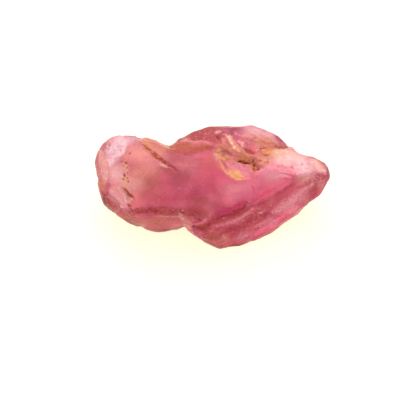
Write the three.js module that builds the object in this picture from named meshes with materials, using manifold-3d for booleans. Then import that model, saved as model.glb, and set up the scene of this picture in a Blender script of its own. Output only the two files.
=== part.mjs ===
// A rough rhodolite garnet: one broken crystal with a waist between its two lobes.
// Millimetres, +Z up, X along the stone. The origin is under the middle of the stone, on the face it lies on.
//
// The facets are given in the stone's own frame: x runs along it, y across its broad face and z out of the
// broad face. At the end the stone is tipped about X onto the face it lies on.
import * as THREE from 'three';
import { ConvexGeometry } from 'three/addons/geometries/ConvexGeometry.js';
import { mergeVertices } from 'three/addons/utils/BufferGeometryUtils.js';
import Module from 'manifold-3d';

const wasm = await Module();
wasm.setup();

const lieTilt = THREE.MathUtils.degToRad(30); // how far the broad face leans back from level
const lieDepth = 3.1; // from the middle of the stone down to the face it lies on
const chipSegments = 48; // round each hollow
const meetingLimit = 1e-6; // planes nearer to parallel than this have no corner
const insideLimit = 1e-5; // how far outside a plane a corner may read and still count
const mergeLimit = 1e-4; // corners nearer than this are one

// The rim of each lobe, seen square on to the broad face, clockwise. Each side of it is a steep facet.
const bigRim = [
  [-3.3, 3.05],
  [-2.0, 3.75],
  [-0.7, 4.46],
  [0.3, 4.55],
  [2.95, 4.72],
  [3.8, 4.5],
  [4.4, 4.25],
  [8.5, 2.05],
  [8.88, 1.63],
  [9.1, 1.15],
  [9.12, 0.45],
  [8.75, -0.2],
  [7.95, -0.98],
  [4.9, -3.42],
  [3.6, -4.08],
  [2.3, -4.5],
  [1.3, -4.66],
  [0.4, -4.77],
  [-0.35, -4.45],
  [-1.95, -3.17],
];
const smallRim = [
  [-2.4, -3.14],
  [-3.5, -3.48],
  [-4.6, -3.47],
  [-6.6, -2.72],
  [-8.3, -1.35],
  [-8.52, -0.7],
  [-9.1, 2.3],
  [-8.85, 2.8],
  [-7.85, 3.62],
  [-6.9, 3.9],
  [-4.8, 3.78],
  [-3.95, 3.38],
  [-3.3, 2.9],
  [-2.4, 2.2],
  [0.6, -0.5],
  [-0.3, -2.3],
];

// Facets that face up or down from the rim: where each one faces, and a point on it.
const bigFacets = [
  { faces: [-0.02, 0.05, 1], through: [0.3, 0.9, 2.74] }, // broad face, middle
  { faces: [-0.24, 0.03, 0.97], through: [-1.3, 0.3, 2.7] }, // its fall to the waist
  { faces: [-0.05, 0.3, 0.95], through: [-1.0, 1.9, 2.62] }, // its upper part
  { faces: [0.07, -0.27, 1], through: [1.3, -1.9, 2.05] }, // its lower part
  { faces: [0.24, -0.2, 1], through: [3.6, -1.0, 2.0] }, // its part by the tip
  { faces: [0.12, 0.18, 0.97], through: [3.0, 1.6, 2.5] }, // broken part
  { faces: [0.44, -0.6, 0.71], through: [6.55, 0.8, 1.68] }, // long lower facet
  { faces: [0.27, -0.64, 0.7], through: [0.5, -2.49, 1.95] }, // its turn to the waist
  { faces: [-0.3, -0.75, 0.6], through: [-0.4, -3.2, 1.35] }, // rusty corner
  { faces: [0.318, 0.605, 0.73], through: [6.6, 0.8, 1.72] }, // pale facet by the tip
  { faces: [0.2, 0.75, 0.62], through: [4.2, 4.1, 0.1] }, // upper band
  { faces: [-0.25, 0.78, 0.57], through: [-0.5, 4.4, 0.2] }, // dark cap
  { faces: [-0.35, 0.73, -0.54], through: [-1.5, 4.25, 0.0] }, // far side, by the waist
  { faces: [0.4, 0.7, -0.56], through: [4.4, 4.4, -0.2] }, // far side, by the tip
  { faces: [0.05, 0.39, -0.92], through: [1.5, 0.87, -4.08] }, // under the far side
  { faces: [0.62, -0.3, -0.72], through: [9.0, 0.5, -0.75] }, // under the tip
  { faces: [0.48, -0.87, -0.15], through: [5.4, -3.3, -0.4] }, // under the long facet
  { faces: [-0.72, 0.22, -0.66], through: [-2.3, 1.5, -2.1] }, // far side, under the waist
];
const smallFacets = [
  { faces: [-0.05, 0.08, 1], through: [-4.2, 0.6, 2.6] }, // broad face
  { faces: [0.36, -0.05, 0.93], through: [-2.1, 0.0, 2.58] }, // its fall to the waist
  { faces: [0.0, -0.2, 0.98], through: [-4.2, -1.0, 2.45] }, // its lower part
  { faces: [-0.05, 0.45, 0.88], through: [-5.0, 2.0, 2.2] }, // its upper part
  { faces: [0.0, 0.8, 0.6], through: [-5.4, 3.3, 1.0] }, // upper shoulder
  { faces: [-0.35, 0.02, 0.94], through: [-6.9, 0.6, 1.95] }, // left shoulder
  { faces: [-0.5, 0.5, 0.7], through: [-7.3, 2.8, 1.0] }, // pale glossy facet
  { faces: [-0.85, 0.05, 0.52], through: [-8.5, 1.0, 0.3] }, // end rim
  { faces: [-0.5, -0.42, 0.75], through: [-7.0, -0.9, 1.35] }, // glassy corner facet
  { faces: [-0.45, -0.78, 0.43], through: [-7.2, -1.9, 0.3] }, // dark corner band
  { faces: [0.0, -0.8, 0.6], through: [-4.5, -1.85, 2.28] }, // lower band
  { faces: [-0.45, 0.59, -0.57], through: [-7.9, 3.75, -0.1] }, // far side, by the end
  { faces: [0.1, 0.51, -0.81], through: [-4.9, 3.7, -0.1] }, // far side, by the waist
  { faces: [0.0, 0.26, -0.96], through: [-4.5, 0.18, -3.68] }, // under the far side
  { faces: [-0.8, -0.21, -0.57], through: [-8.8, 1.0, -0.9] }, // under the end
  { faces: [-0.55, -0.07, -0.82], through: [-5.6, -0.16, -3.48] }, // under the far end
  { faces: [-0.15, -0.95, -0.15], through: [-4.5, -3.5, 0.0] }, // under the lower band
];

// Shell-shaped hollows where chips broke away: the centre of each round cut and its half sizes.
const hollows = [
  { centre: [3.2, 2.5, 6.4], radii: [5.0, 3.9, 4.4] }, // broken hollow in the broad face
  { centre: [-1.1, 2.95, 4.6], radii: [4.2, 1.6, 2.4] }, // fold under the dark cap
  { centre: [-0.8, -4.7, 3.3], radii: [2.2, 2.4, 2.2] }, // step at the lower notch
  { centre: [8.7, 6.8, -0.1], radii: [4.6, 4.6, 4.6] }, // chip in the upper rim by the tip
  { centre: [2.4, 7.0, -4.2], radii: [4.4, 4.4, 4.4] }, // far side of the big lobe
  { centre: [-5.4, 5.6, -3.9], radii: [3.6, 3.6, 3.6] }, // far side of the small lobe
  { centre: [5.2, 2.6, -6.2], radii: [4.4, 2.6, 3.6] }, // under the tip
  { centre: [-1.4, 4.4, -5.6], radii: [3.0, 3.4, 2.6] }, // under the waist
];

function facetPlane({ faces, through }) {
  const normal = new THREE.Vector3(...faces).normalize();
  return new THREE.Plane().setFromNormalAndCoplanarPoint(normal, new THREE.Vector3(...through));
}

// The steep facets of a rim whose points run clockwise.
function rimPlanes(rim) {
  return rim.map(([x, y], i) => {
    const [nextX, nextY] = rim[(i + 1) % rim.length];
    return facetPlane({ faces: [y - nextY, nextX - x, 0], through: [x, y, 0] });
  });
}

// The point where three planes meet, or null where two of them run alongside each other.
function meetingPoint(a, b, c) {
  const normals = new THREE.Matrix3().set(
    a.normal.x, a.normal.y, a.normal.z,
    b.normal.x, b.normal.y, b.normal.z,
    c.normal.x, c.normal.y, c.normal.z,
  );
  if (Math.abs(normals.determinant()) < meetingLimit) return null;
  return new THREE.Vector3(-a.constant, -b.constant, -c.constant).applyMatrix3(normals.invert());
}

function isInside(point, planes) {
  return planes.every((plane) => plane.distanceToPoint(point) < insideLimit);
}

// A convex lobe: the corners where its planes meet, wrapped in their hull.
function lobeGeometry(planes) {
  const corners = [];
  for (let i = 0; i < planes.length; i++) {
    for (let j = i + 1; j < planes.length; j++) {
      for (let k = j + 1; k < planes.length; k++) {
        const corner = meetingPoint(planes[i], planes[j], planes[k]);
        if (corner && isInside(corner, planes)) corners.push(corner);
      }
    }
  }
  return new ConvexGeometry(corners);
}

function solidFrom(geometry) {
  const bare = geometry.clone();
  bare.deleteAttribute('normal');
  bare.deleteAttribute('uv');
  const merged = mergeVertices(bare, mergeLimit);
  const triVerts = new Uint32Array(merged.index.array);
  const vertProperties = merged.attributes.position.array;
  return new wasm.Manifold(new wasm.Mesh({ numProp: 3, vertProperties, triVerts }));
}

function geometryFrom(solid) {
  const mesh = solid.getMesh();
  const geometry = new THREE.BufferGeometry();
  geometry.setAttribute('position', new THREE.BufferAttribute(mesh.vertProperties, 3));
  geometry.setIndex(new THREE.BufferAttribute(mesh.triVerts, 1));
  return geometry;
}

function garnetGeometry() {
  const lyingFace = {
    faces: [0, -Math.sin(lieTilt), -Math.cos(lieTilt)],
    through: [0, -lieDepth * Math.sin(lieTilt), -lieDepth * Math.cos(lieTilt)],
  };
  const lyingPlane = facetPlane(lyingFace);
  const bigLobe = lobeGeometry([...rimPlanes(bigRim), ...bigFacets.map(facetPlane), lyingPlane]);
  const smallLobe = lobeGeometry([...rimPlanes(smallRim), ...smallFacets.map(facetPlane), lyingPlane]);
  let stone = solidFrom(bigLobe).add(solidFrom(smallLobe));
  for (const { centre, radii } of hollows) {
    const chip = new THREE.SphereGeometry(1, chipSegments, chipSegments / 2);
    chip.scale(...radii).translate(...centre);
    stone = stone.subtract(solidFrom(chip));
  }
  const geometry = geometryFrom(stone).rotateX(lieTilt);
  geometry.computeBoundingBox();
  const { min, max } = geometry.boundingBox;
  return geometry.translate(-(min.x + max.x) / 2, -(min.y + max.y) / 2, -min.z);
}

const garnet = new THREE.Mesh(
  garnetGeometry(),
  new THREE.MeshStandardMaterial({ color: 0xd4586c, roughness: 0.35, metalness: 0 }),
);
garnet.name = 'garnet';

const stoneGroup = new THREE.Group();
stoneGroup.add(garnet);

export default stoneGroup;
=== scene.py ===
import bpy
import math
import numpy as np
from mathutils import Matrix, Vector, noise


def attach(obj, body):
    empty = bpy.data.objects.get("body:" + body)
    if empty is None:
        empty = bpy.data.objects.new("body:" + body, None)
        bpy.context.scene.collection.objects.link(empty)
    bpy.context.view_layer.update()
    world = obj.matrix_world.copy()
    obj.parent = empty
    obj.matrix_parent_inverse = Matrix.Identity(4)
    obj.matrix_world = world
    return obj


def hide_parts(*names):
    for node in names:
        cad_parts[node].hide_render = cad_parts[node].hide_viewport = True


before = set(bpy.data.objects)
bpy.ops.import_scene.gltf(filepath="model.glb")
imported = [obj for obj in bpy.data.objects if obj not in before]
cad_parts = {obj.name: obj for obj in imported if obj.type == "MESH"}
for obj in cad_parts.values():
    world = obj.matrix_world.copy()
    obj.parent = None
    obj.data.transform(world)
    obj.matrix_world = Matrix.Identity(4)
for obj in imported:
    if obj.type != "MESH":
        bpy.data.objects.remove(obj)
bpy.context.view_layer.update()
mm = 0.001

# The stone's own frame in mm: x runs along it, y across its broad face, z out of that face towards the lens.
lie = {
    "middle": (-0.0192, -0.1985, 3.1),  # where the own frame sits in the world
    "tilt": math.radians(30),  # how far the broad face leans from level
}


def worldFromOwn(points):
    p = np.atleast_2d(np.asarray(points, dtype=float))
    c, s = math.cos(lie["tilt"]), math.sin(lie["tilt"])
    turned = np.stack([p[:, 0], p[:, 1] * c - p[:, 2] * s, p[:, 1] * s + p[:, 2] * c], axis=1)
    return turned + np.array(lie["middle"])


def ownDirections(vectors):
    v = np.asarray(vectors, dtype=float)
    c, s = math.cos(lie["tilt"]), math.sin(lie["tilt"])
    return np.stack([v[:, 0], v[:, 1] * c + v[:, 2] * s, -v[:, 1] * s + v[:, 2] * c], axis=1)


def ownFromWorld(points):
    return ownDirections(np.asarray(points, dtype=float) - np.array(lie["middle"]))


# A long lens square on to the broad face.
lens = {
    "elevation": math.radians(60),
    "distance": 320.0,  # mm
    "width": 30.63,  # mm of the stone's plane that the frame takes in
    "aim": (-0.88, -1.04, 0.6),  # mm in the stone's own frame, the middle of the frame
    "sensor": 36.0,
}


def makeCamera():
    data = bpy.data.cameras.new("macroLens")
    data.sensor_width = lens["sensor"]
    data.lens = lens["sensor"] * lens["distance"] / lens["width"]
    data.clip_start = 0.01
    data.clip_end = 10
    camera = bpy.data.objects.new("camera", data)
    bpy.context.scene.collection.objects.link(camera)
    aim = Vector(worldFromOwn(lens["aim"])[0]) * mm
    away = Vector((0, -math.cos(lens["elevation"]), math.sin(lens["elevation"])))
    camera.location = aim + away * lens["distance"] * mm
    camera.rotation_euler = away.to_track_quat("Z", "Y").to_euler()
    bpy.context.scene.camera = camera


makeCamera()
print("camera set")


def smoothStep(low, high, values):
    t = np.clip((values - low) / (high - low), 0, 1)
    return t * t * (3 - 2 * t)


def grain(points, size, octaves=3, seed=0):
    # soft noise, about -1 to 1, with lumps about size mm across; size may be one number or three
    shift = np.array([7.31, 3.17, 5.73]) * seed
    places = (points / np.asarray(size, dtype=float) + shift).tolist()
    return np.array([noise.fractal(p, 1.0, 2.0, octaves) for p in places])


def cadCopy(node):
    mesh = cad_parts[node].data.copy()
    mesh.transform(Matrix.Scale(1 / mm, 4))
    piece = bpy.data.objects.new(node + "Stone", mesh)
    bpy.context.scene.collection.objects.link(piece)
    return piece


def applyModifiers(piece):
    graph = bpy.context.evaluated_depsgraph_get()
    baked = bpy.data.meshes.new_from_object(piece.evaluated_get(graph))
    piece.modifiers.clear()
    old = piece.data
    piece.data = baked
    bpy.data.meshes.remove(old)


cut = {
    "voxel": 0.07,  # mm
    "softening": 10,  # rounds of smoothing everywhere, after the remesh
    "rounding": 90,  # further rounds where the stone is worn round
    "growth": 0.12,  # mm outwards, what the rounding took off
}


def remeshed(node):
    piece = cadCopy(node)
    weld = piece.modifiers.new("weld", "WELD")
    weld.merge_threshold = 0.0005
    voxel = piece.modifiers.new("voxel", "REMESH")
    voxel.mode = "VOXEL"
    voxel.voxel_size = cut["voxel"]
    applyModifiers(piece)
    return piece


class Surface:
    # the corners of a mesh in mm, and which corner is joined to which
    def __init__(self, mesh):
        self.mesh = mesh
        count = len(mesh.vertices)
        flat = np.empty(count * 3)
        mesh.vertices.foreach_get("co", flat)
        self.points = flat.reshape(count, 3)
        pairs = np.empty(len(mesh.edges) * 2, dtype=np.int64)
        mesh.edges.foreach_get("vertices", pairs)
        self.pairs = pairs.reshape(-1, 2)
        self.valence = np.bincount(pairs, minlength=count)

    def around(self, values):
        # the mean of each corner's neighbours
        if values.ndim > 1:
            return np.stack([self.around(column) for column in values.T], axis=1)
        a, b = self.pairs.T
        n = len(self.valence)
        return (np.bincount(a, values[b], n) + np.bincount(b, values[a], n)) / self.valence

    def smooth(self, rounds, weight=1.0):
        share = np.broadcast_to(np.asarray(weight, dtype=float) * 0.5, len(self.points))[:, None]
        for _ in range(rounds):
            self.points += (self.around(self.points) - self.points) * share

    def spread(self, values, rounds):
        for _ in range(rounds):
            values = (values + self.around(values)) / 2
        return values

    def normals(self):
        self.write()
        flat = np.empty(len(self.points) * 3)
        self.mesh.vertices.foreach_get("normal", flat)
        return flat.reshape(-1, 3)

    def write(self):
        self.mesh.vertices.foreach_set("co", self.points.reshape(-1))
        self.mesh.update()


stone = remeshed("garnet")
skin = Surface(stone.data)
print("remeshed", len(stone.data.vertices), "corners")

# How far the stone is worn round, 0 to 1, and the spots of the broad side that keep or lose their edges.
wear = {
    "least": 0.12,
    "leftLobe": 0.75,  # more on the left lobe
    "leftFade": (-1.2, -2.6),  # mm along the stone, where that begins and is full
    "farSide": 0.6,  # on the side away from the lens
    "farFade": (0.6, -0.8),  # mm out of the broad face, where that begins and is full
    "paleEdge": {"at": (-7.3, 2.7), "size": (1.1, 1.3), "fade": (1.3, 0.6), "kept": 0.75},
    "foldFoot": {"at": (-1.1, 2.3), "size": (2.6, 0.95), "fade": (1.0, 0.5), "worn": 0.9},
}


def nearSpot(spot):
    # 1 in the middle of a spot, 0 away from it
    x, y = (own[:, :2] - np.array(spot["at"])).T
    return smoothStep(*spot["fade"], np.hypot(x / spot["size"][0], y / spot["size"][1]))


def wearAmounts():
    leftLobe = wear["leftLobe"] * smoothStep(*wear["leftFade"], own[:, 0])
    farSide = wear["farSide"] * smoothStep(*wear["farFade"], own[:, 2])
    worn = np.maximum(wear["least"] + leftLobe, farSide)
    worn *= 1 - wear["paleEdge"]["kept"] * nearSpot(wear["paleEdge"])
    foldFoot = nearSpot(wear["foldFoot"]) * smoothStep(0, 1, own[:, 2])
    return np.maximum(worn, wear["foldFoot"]["worn"] * foldFoot)


skin.smooth(cut["softening"])
own = ownFromWorld(skin.points)
skin.smooth(cut["rounding"], wearAmounts())
skin.points += skin.normals() * cut["growth"]
skin.points[:, 2] = np.maximum(skin.points[:, 2], 0.0)
own = ownFromWorld(skin.points)
outward = ownDirections(skin.normals())
print("rounded")

# Where marks show, and how far their edges wander.
marking = {
    "front": (-0.35, -0.05),  # how far the skin faces the lens where marks begin and are full
    "frontSpread": 40,  # rounds of blurring
    "steep": (0.4, 0.1),  # the same for the steep sides
    "steepSpread": 12,
    "wander": 0.09,  # mm
    "steepWander": 0.3,  # mm more on the steep sides
    "wanderSize": 0.7,  # mm
    "taper": 0.75,  # how much of its width a stroke loses at its ends
    "washSoft": 0.95,
}


class Marks:
    # which corners of the skin a mark takes in, how deep each one sinks and what stains it wears
    def __init__(self, own, facing):
        self.own = own
        self.front = skin.spread(smoothStep(*marking["front"], facing), marking["frontSpread"])
        self.steep = skin.spread(smoothStep(*marking["steep"], facing), marking["steepSpread"])
        reach = marking["wander"] + marking["steepWander"] * self.steep
        wander = [grain(own, marking["wanderSize"], 3, seed) * reach for seed in (11, 12)]
        self.flat = own[:, :2] + np.stack(wander, axis=1)
        self.sink = np.zeros(len(own))
        self.stains = {}

    def oval(self, at, size, turn=0.0, soft=0.6):
        # 1 in the middle of an oval, 0 outside it
        c, s = math.cos(math.radians(turn)), math.sin(math.radians(turn))
        x, y = (self.flat - np.array(at)).T
        reach = np.hypot((x * c + y * s) / size[0], (y * c - x * s) / size[1])
        return smoothStep(1, 1 - soft, reach) * self.front

    def follow(self, line):
        # distance from a line of points, how far along it from 0 to 1, and the side: 1 left of it, -1 right
        ends = np.array(line, dtype=float)
        steps = np.diff(ends, axis=0)
        lengths = np.linalg.norm(steps, axis=1)
        best = np.full(len(self.flat), 1e9)
        place, side = np.zeros_like(best), np.zeros_like(best)
        run = 0.0
        for start, step, length in zip(ends, steps, lengths):
            t = np.clip((self.flat - start) @ step / length**2, 0, 1)
            gap = self.flat - start - t[:, None] * step
            distance = np.hypot(gap[:, 0], gap[:, 1])
            nearer = distance < best
            best[nearer] = distance[nearer]
            place[nearer] = (run + t[nearer] * length) / lengths.sum()
            side[nearer] = np.sign(step[0] * gap[nearer, 1] - step[1] * gap[nearer, 0])
            run += length
        return best, place, side

    def stroke(self, line, width, soft=0.7, taper=True):
        # 1 along a line, 0 beyond its width; a tapered stroke thins out at both ends
        distance, place, _ = self.follow(line)
        reach = width * (1 - marking["taper"] * np.abs(2 * place - 1) ** 3) if taper else width
        return smoothStep(1, 1 - soft, distance / reach) * self.front

    def inside(self, outline, edge=0.12):
        # 1 inside a closed outline, 0 outside, with a soft edge
        ring = list(outline) + [outline[0]]
        distance, _, _ = self.follow(ring)
        x, y = self.flat.T
        within = np.zeros(len(x), dtype=bool)
        for (x1, y1), (x2, y2) in zip(ring, ring[1:]):
            crosses = (y1 > y) != (y2 > y)
            level = (x2 - x1) * (y - y1) / ((y2 - y1) or 1e-9) + x1
            within ^= crosses & (x < level)
        return smoothStep(-edge, edge, np.where(within, distance, -distance)) * self.front

    def stain(self, name, amount):
        worn = self.stains.setdefault(name, np.zeros(len(self.own)))
        np.maximum(worn, np.clip(amount, 0, 1), out=worn)

    def wash(self, name, amount):
        # a thin coat over what is there
        worn = self.stains.setdefault(name, np.zeros(len(self.own)))
        worn += (1 - worn) * np.clip(amount, 0, 1)


marks = Marks(own, outward[:, 2])

# The grain of the skin, in mm: how big its lumps are and how deep they go.
skinGrain = {
    "fine": 0.22,
    "fineDepth": 0.008,
    "coarse": 0.8,
    "coarseDepth": 0.03,
    "onFace": 0.5,  # how much of the coarse grain shows on the broad face
    "broad": 2.4,
    "broadDepth": 0.06,
    "pepper": 0.17,
    "speckle": (1.5, 0.5),  # how far the fine and the coarse grain break a stain up
    "broadFace": (0.75, 0.95),  # how far the skin faces the lens where the broad face begins and is full
}
fine = grain(own, skinGrain["fine"], seed=3)
coarse = grain(own, skinGrain["coarse"], seed=4)
pepper = grain(own, skinGrain["pepper"], seed=81)
speckle = skinGrain["speckle"][0] * fine + skinGrain["speckle"][1] * coarse
broadFace = smoothStep(*skinGrain["broadFace"], outward[:, 2])

# Shallow shell-shaped scoops all over, deeper on the sides and back than on the broad face.
scoops = {
    "count": 150,
    "seed": 5,
    "sizes": (0.5, 1.9),  # mm
    "depth": 0.075,  # share of the size
    "onFace": 0.22,  # how much of it shows on the broad face
}


def scoopAll():
    pick = np.random.default_rng(scoops["seed"])
    depth = np.zeros(len(own))
    middles = own[pick.integers(0, len(own), scoops["count"])]
    for middle in middles:
        size = pick.uniform(*scoops["sizes"])
        near = np.linalg.norm(own - middle, axis=1) / size
        depth = np.maximum(depth, scoops["depth"] * size * (1 - near**2))
    marks.sink += depth * (1 - (1 - scoops["onFace"]) * broadFace)


def undulate():
    marks.sink += grain(own, skinGrain["broad"], octaves=2, seed=1) * skinGrain["broadDepth"]
    marks.sink += coarse * skinGrain["coarseDepth"] * (1 - (1 - skinGrain["onFace"]) * broadFace)
    marks.sink += fine * skinGrain["fineDepth"]


scoopAll()
undulate()


def fadedEnds(place, atStart, atEnd):
    # 1 along a line, 0 at its two ends; place is how far along it
    return smoothStep(0, atStart, place) * smoothStep(1, 1 - atEnd, place)


def patchy(even, lumps):
    # a strength that is even but for the coarse grain
    return even + lumps * coarse


def layMask(mask, depth=0.0, grit=0.0, stains=None):
    # sinks a masked place and stains it; grit breaks its colour up into grains
    broken = mask * np.clip(1 + grit * speckle, 0, 1.5)
    marks.sink += mask * depth
    for name, amount in (stains or {}).items():
        marks.stain(name, broken * amount)


def layStroke(line, width, depth=0.0, soft=0.7, taper=True, grit=0.3, **stains):
    layMask(marks.stroke(line, width, soft, taper), depth, grit, stains)


def laySpot(at, size, turn=0, depth=0.0, soft=0.6, grit=0.3, **stains):
    layMask(marks.oval(at, size, turn, soft), depth, grit, stains)


def layPatch(outline, edge=0.12, depth=0.0, grit=0.3, **stains):
    layMask(marks.inside(outline, edge), depth, grit, stains)


def layRegion(region):
    for stroke in region.get("strokes", []):
        layStroke(**stroke)
    for patch in region.get("patches", []):
        layPatch(**patch)
    for spot in region.get("spots", []):
        laySpot(**spot)
    for name, washes in region.get("washes", {}).items():
        for at, size, turn, amount in washes:
            marks.wash(name, marks.oval(at, size, turn, marking["washSoft"]) * amount)


def layGrain(lay, mask, field, coats):
    # stains a place by a grain: each coat has its stain, how it follows the grain, its start and its limit
    for name, follow, start, limit in coats:
        lay(name, mask * np.clip(start + follow * field, 0, limit))


def ownStretched(turn, sizes):
    # own places turned in the broad plane and divided by a size across and one along, for noise in streaks
    c, s = math.cos(math.radians(turn)), math.sin(math.radians(turn))
    x, y, z = own.T
    across, along = sizes
    return np.stack([(x * c + y * s) / along, (y * c - x * s) / across, z / max(across, 0.4)], axis=1)


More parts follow.
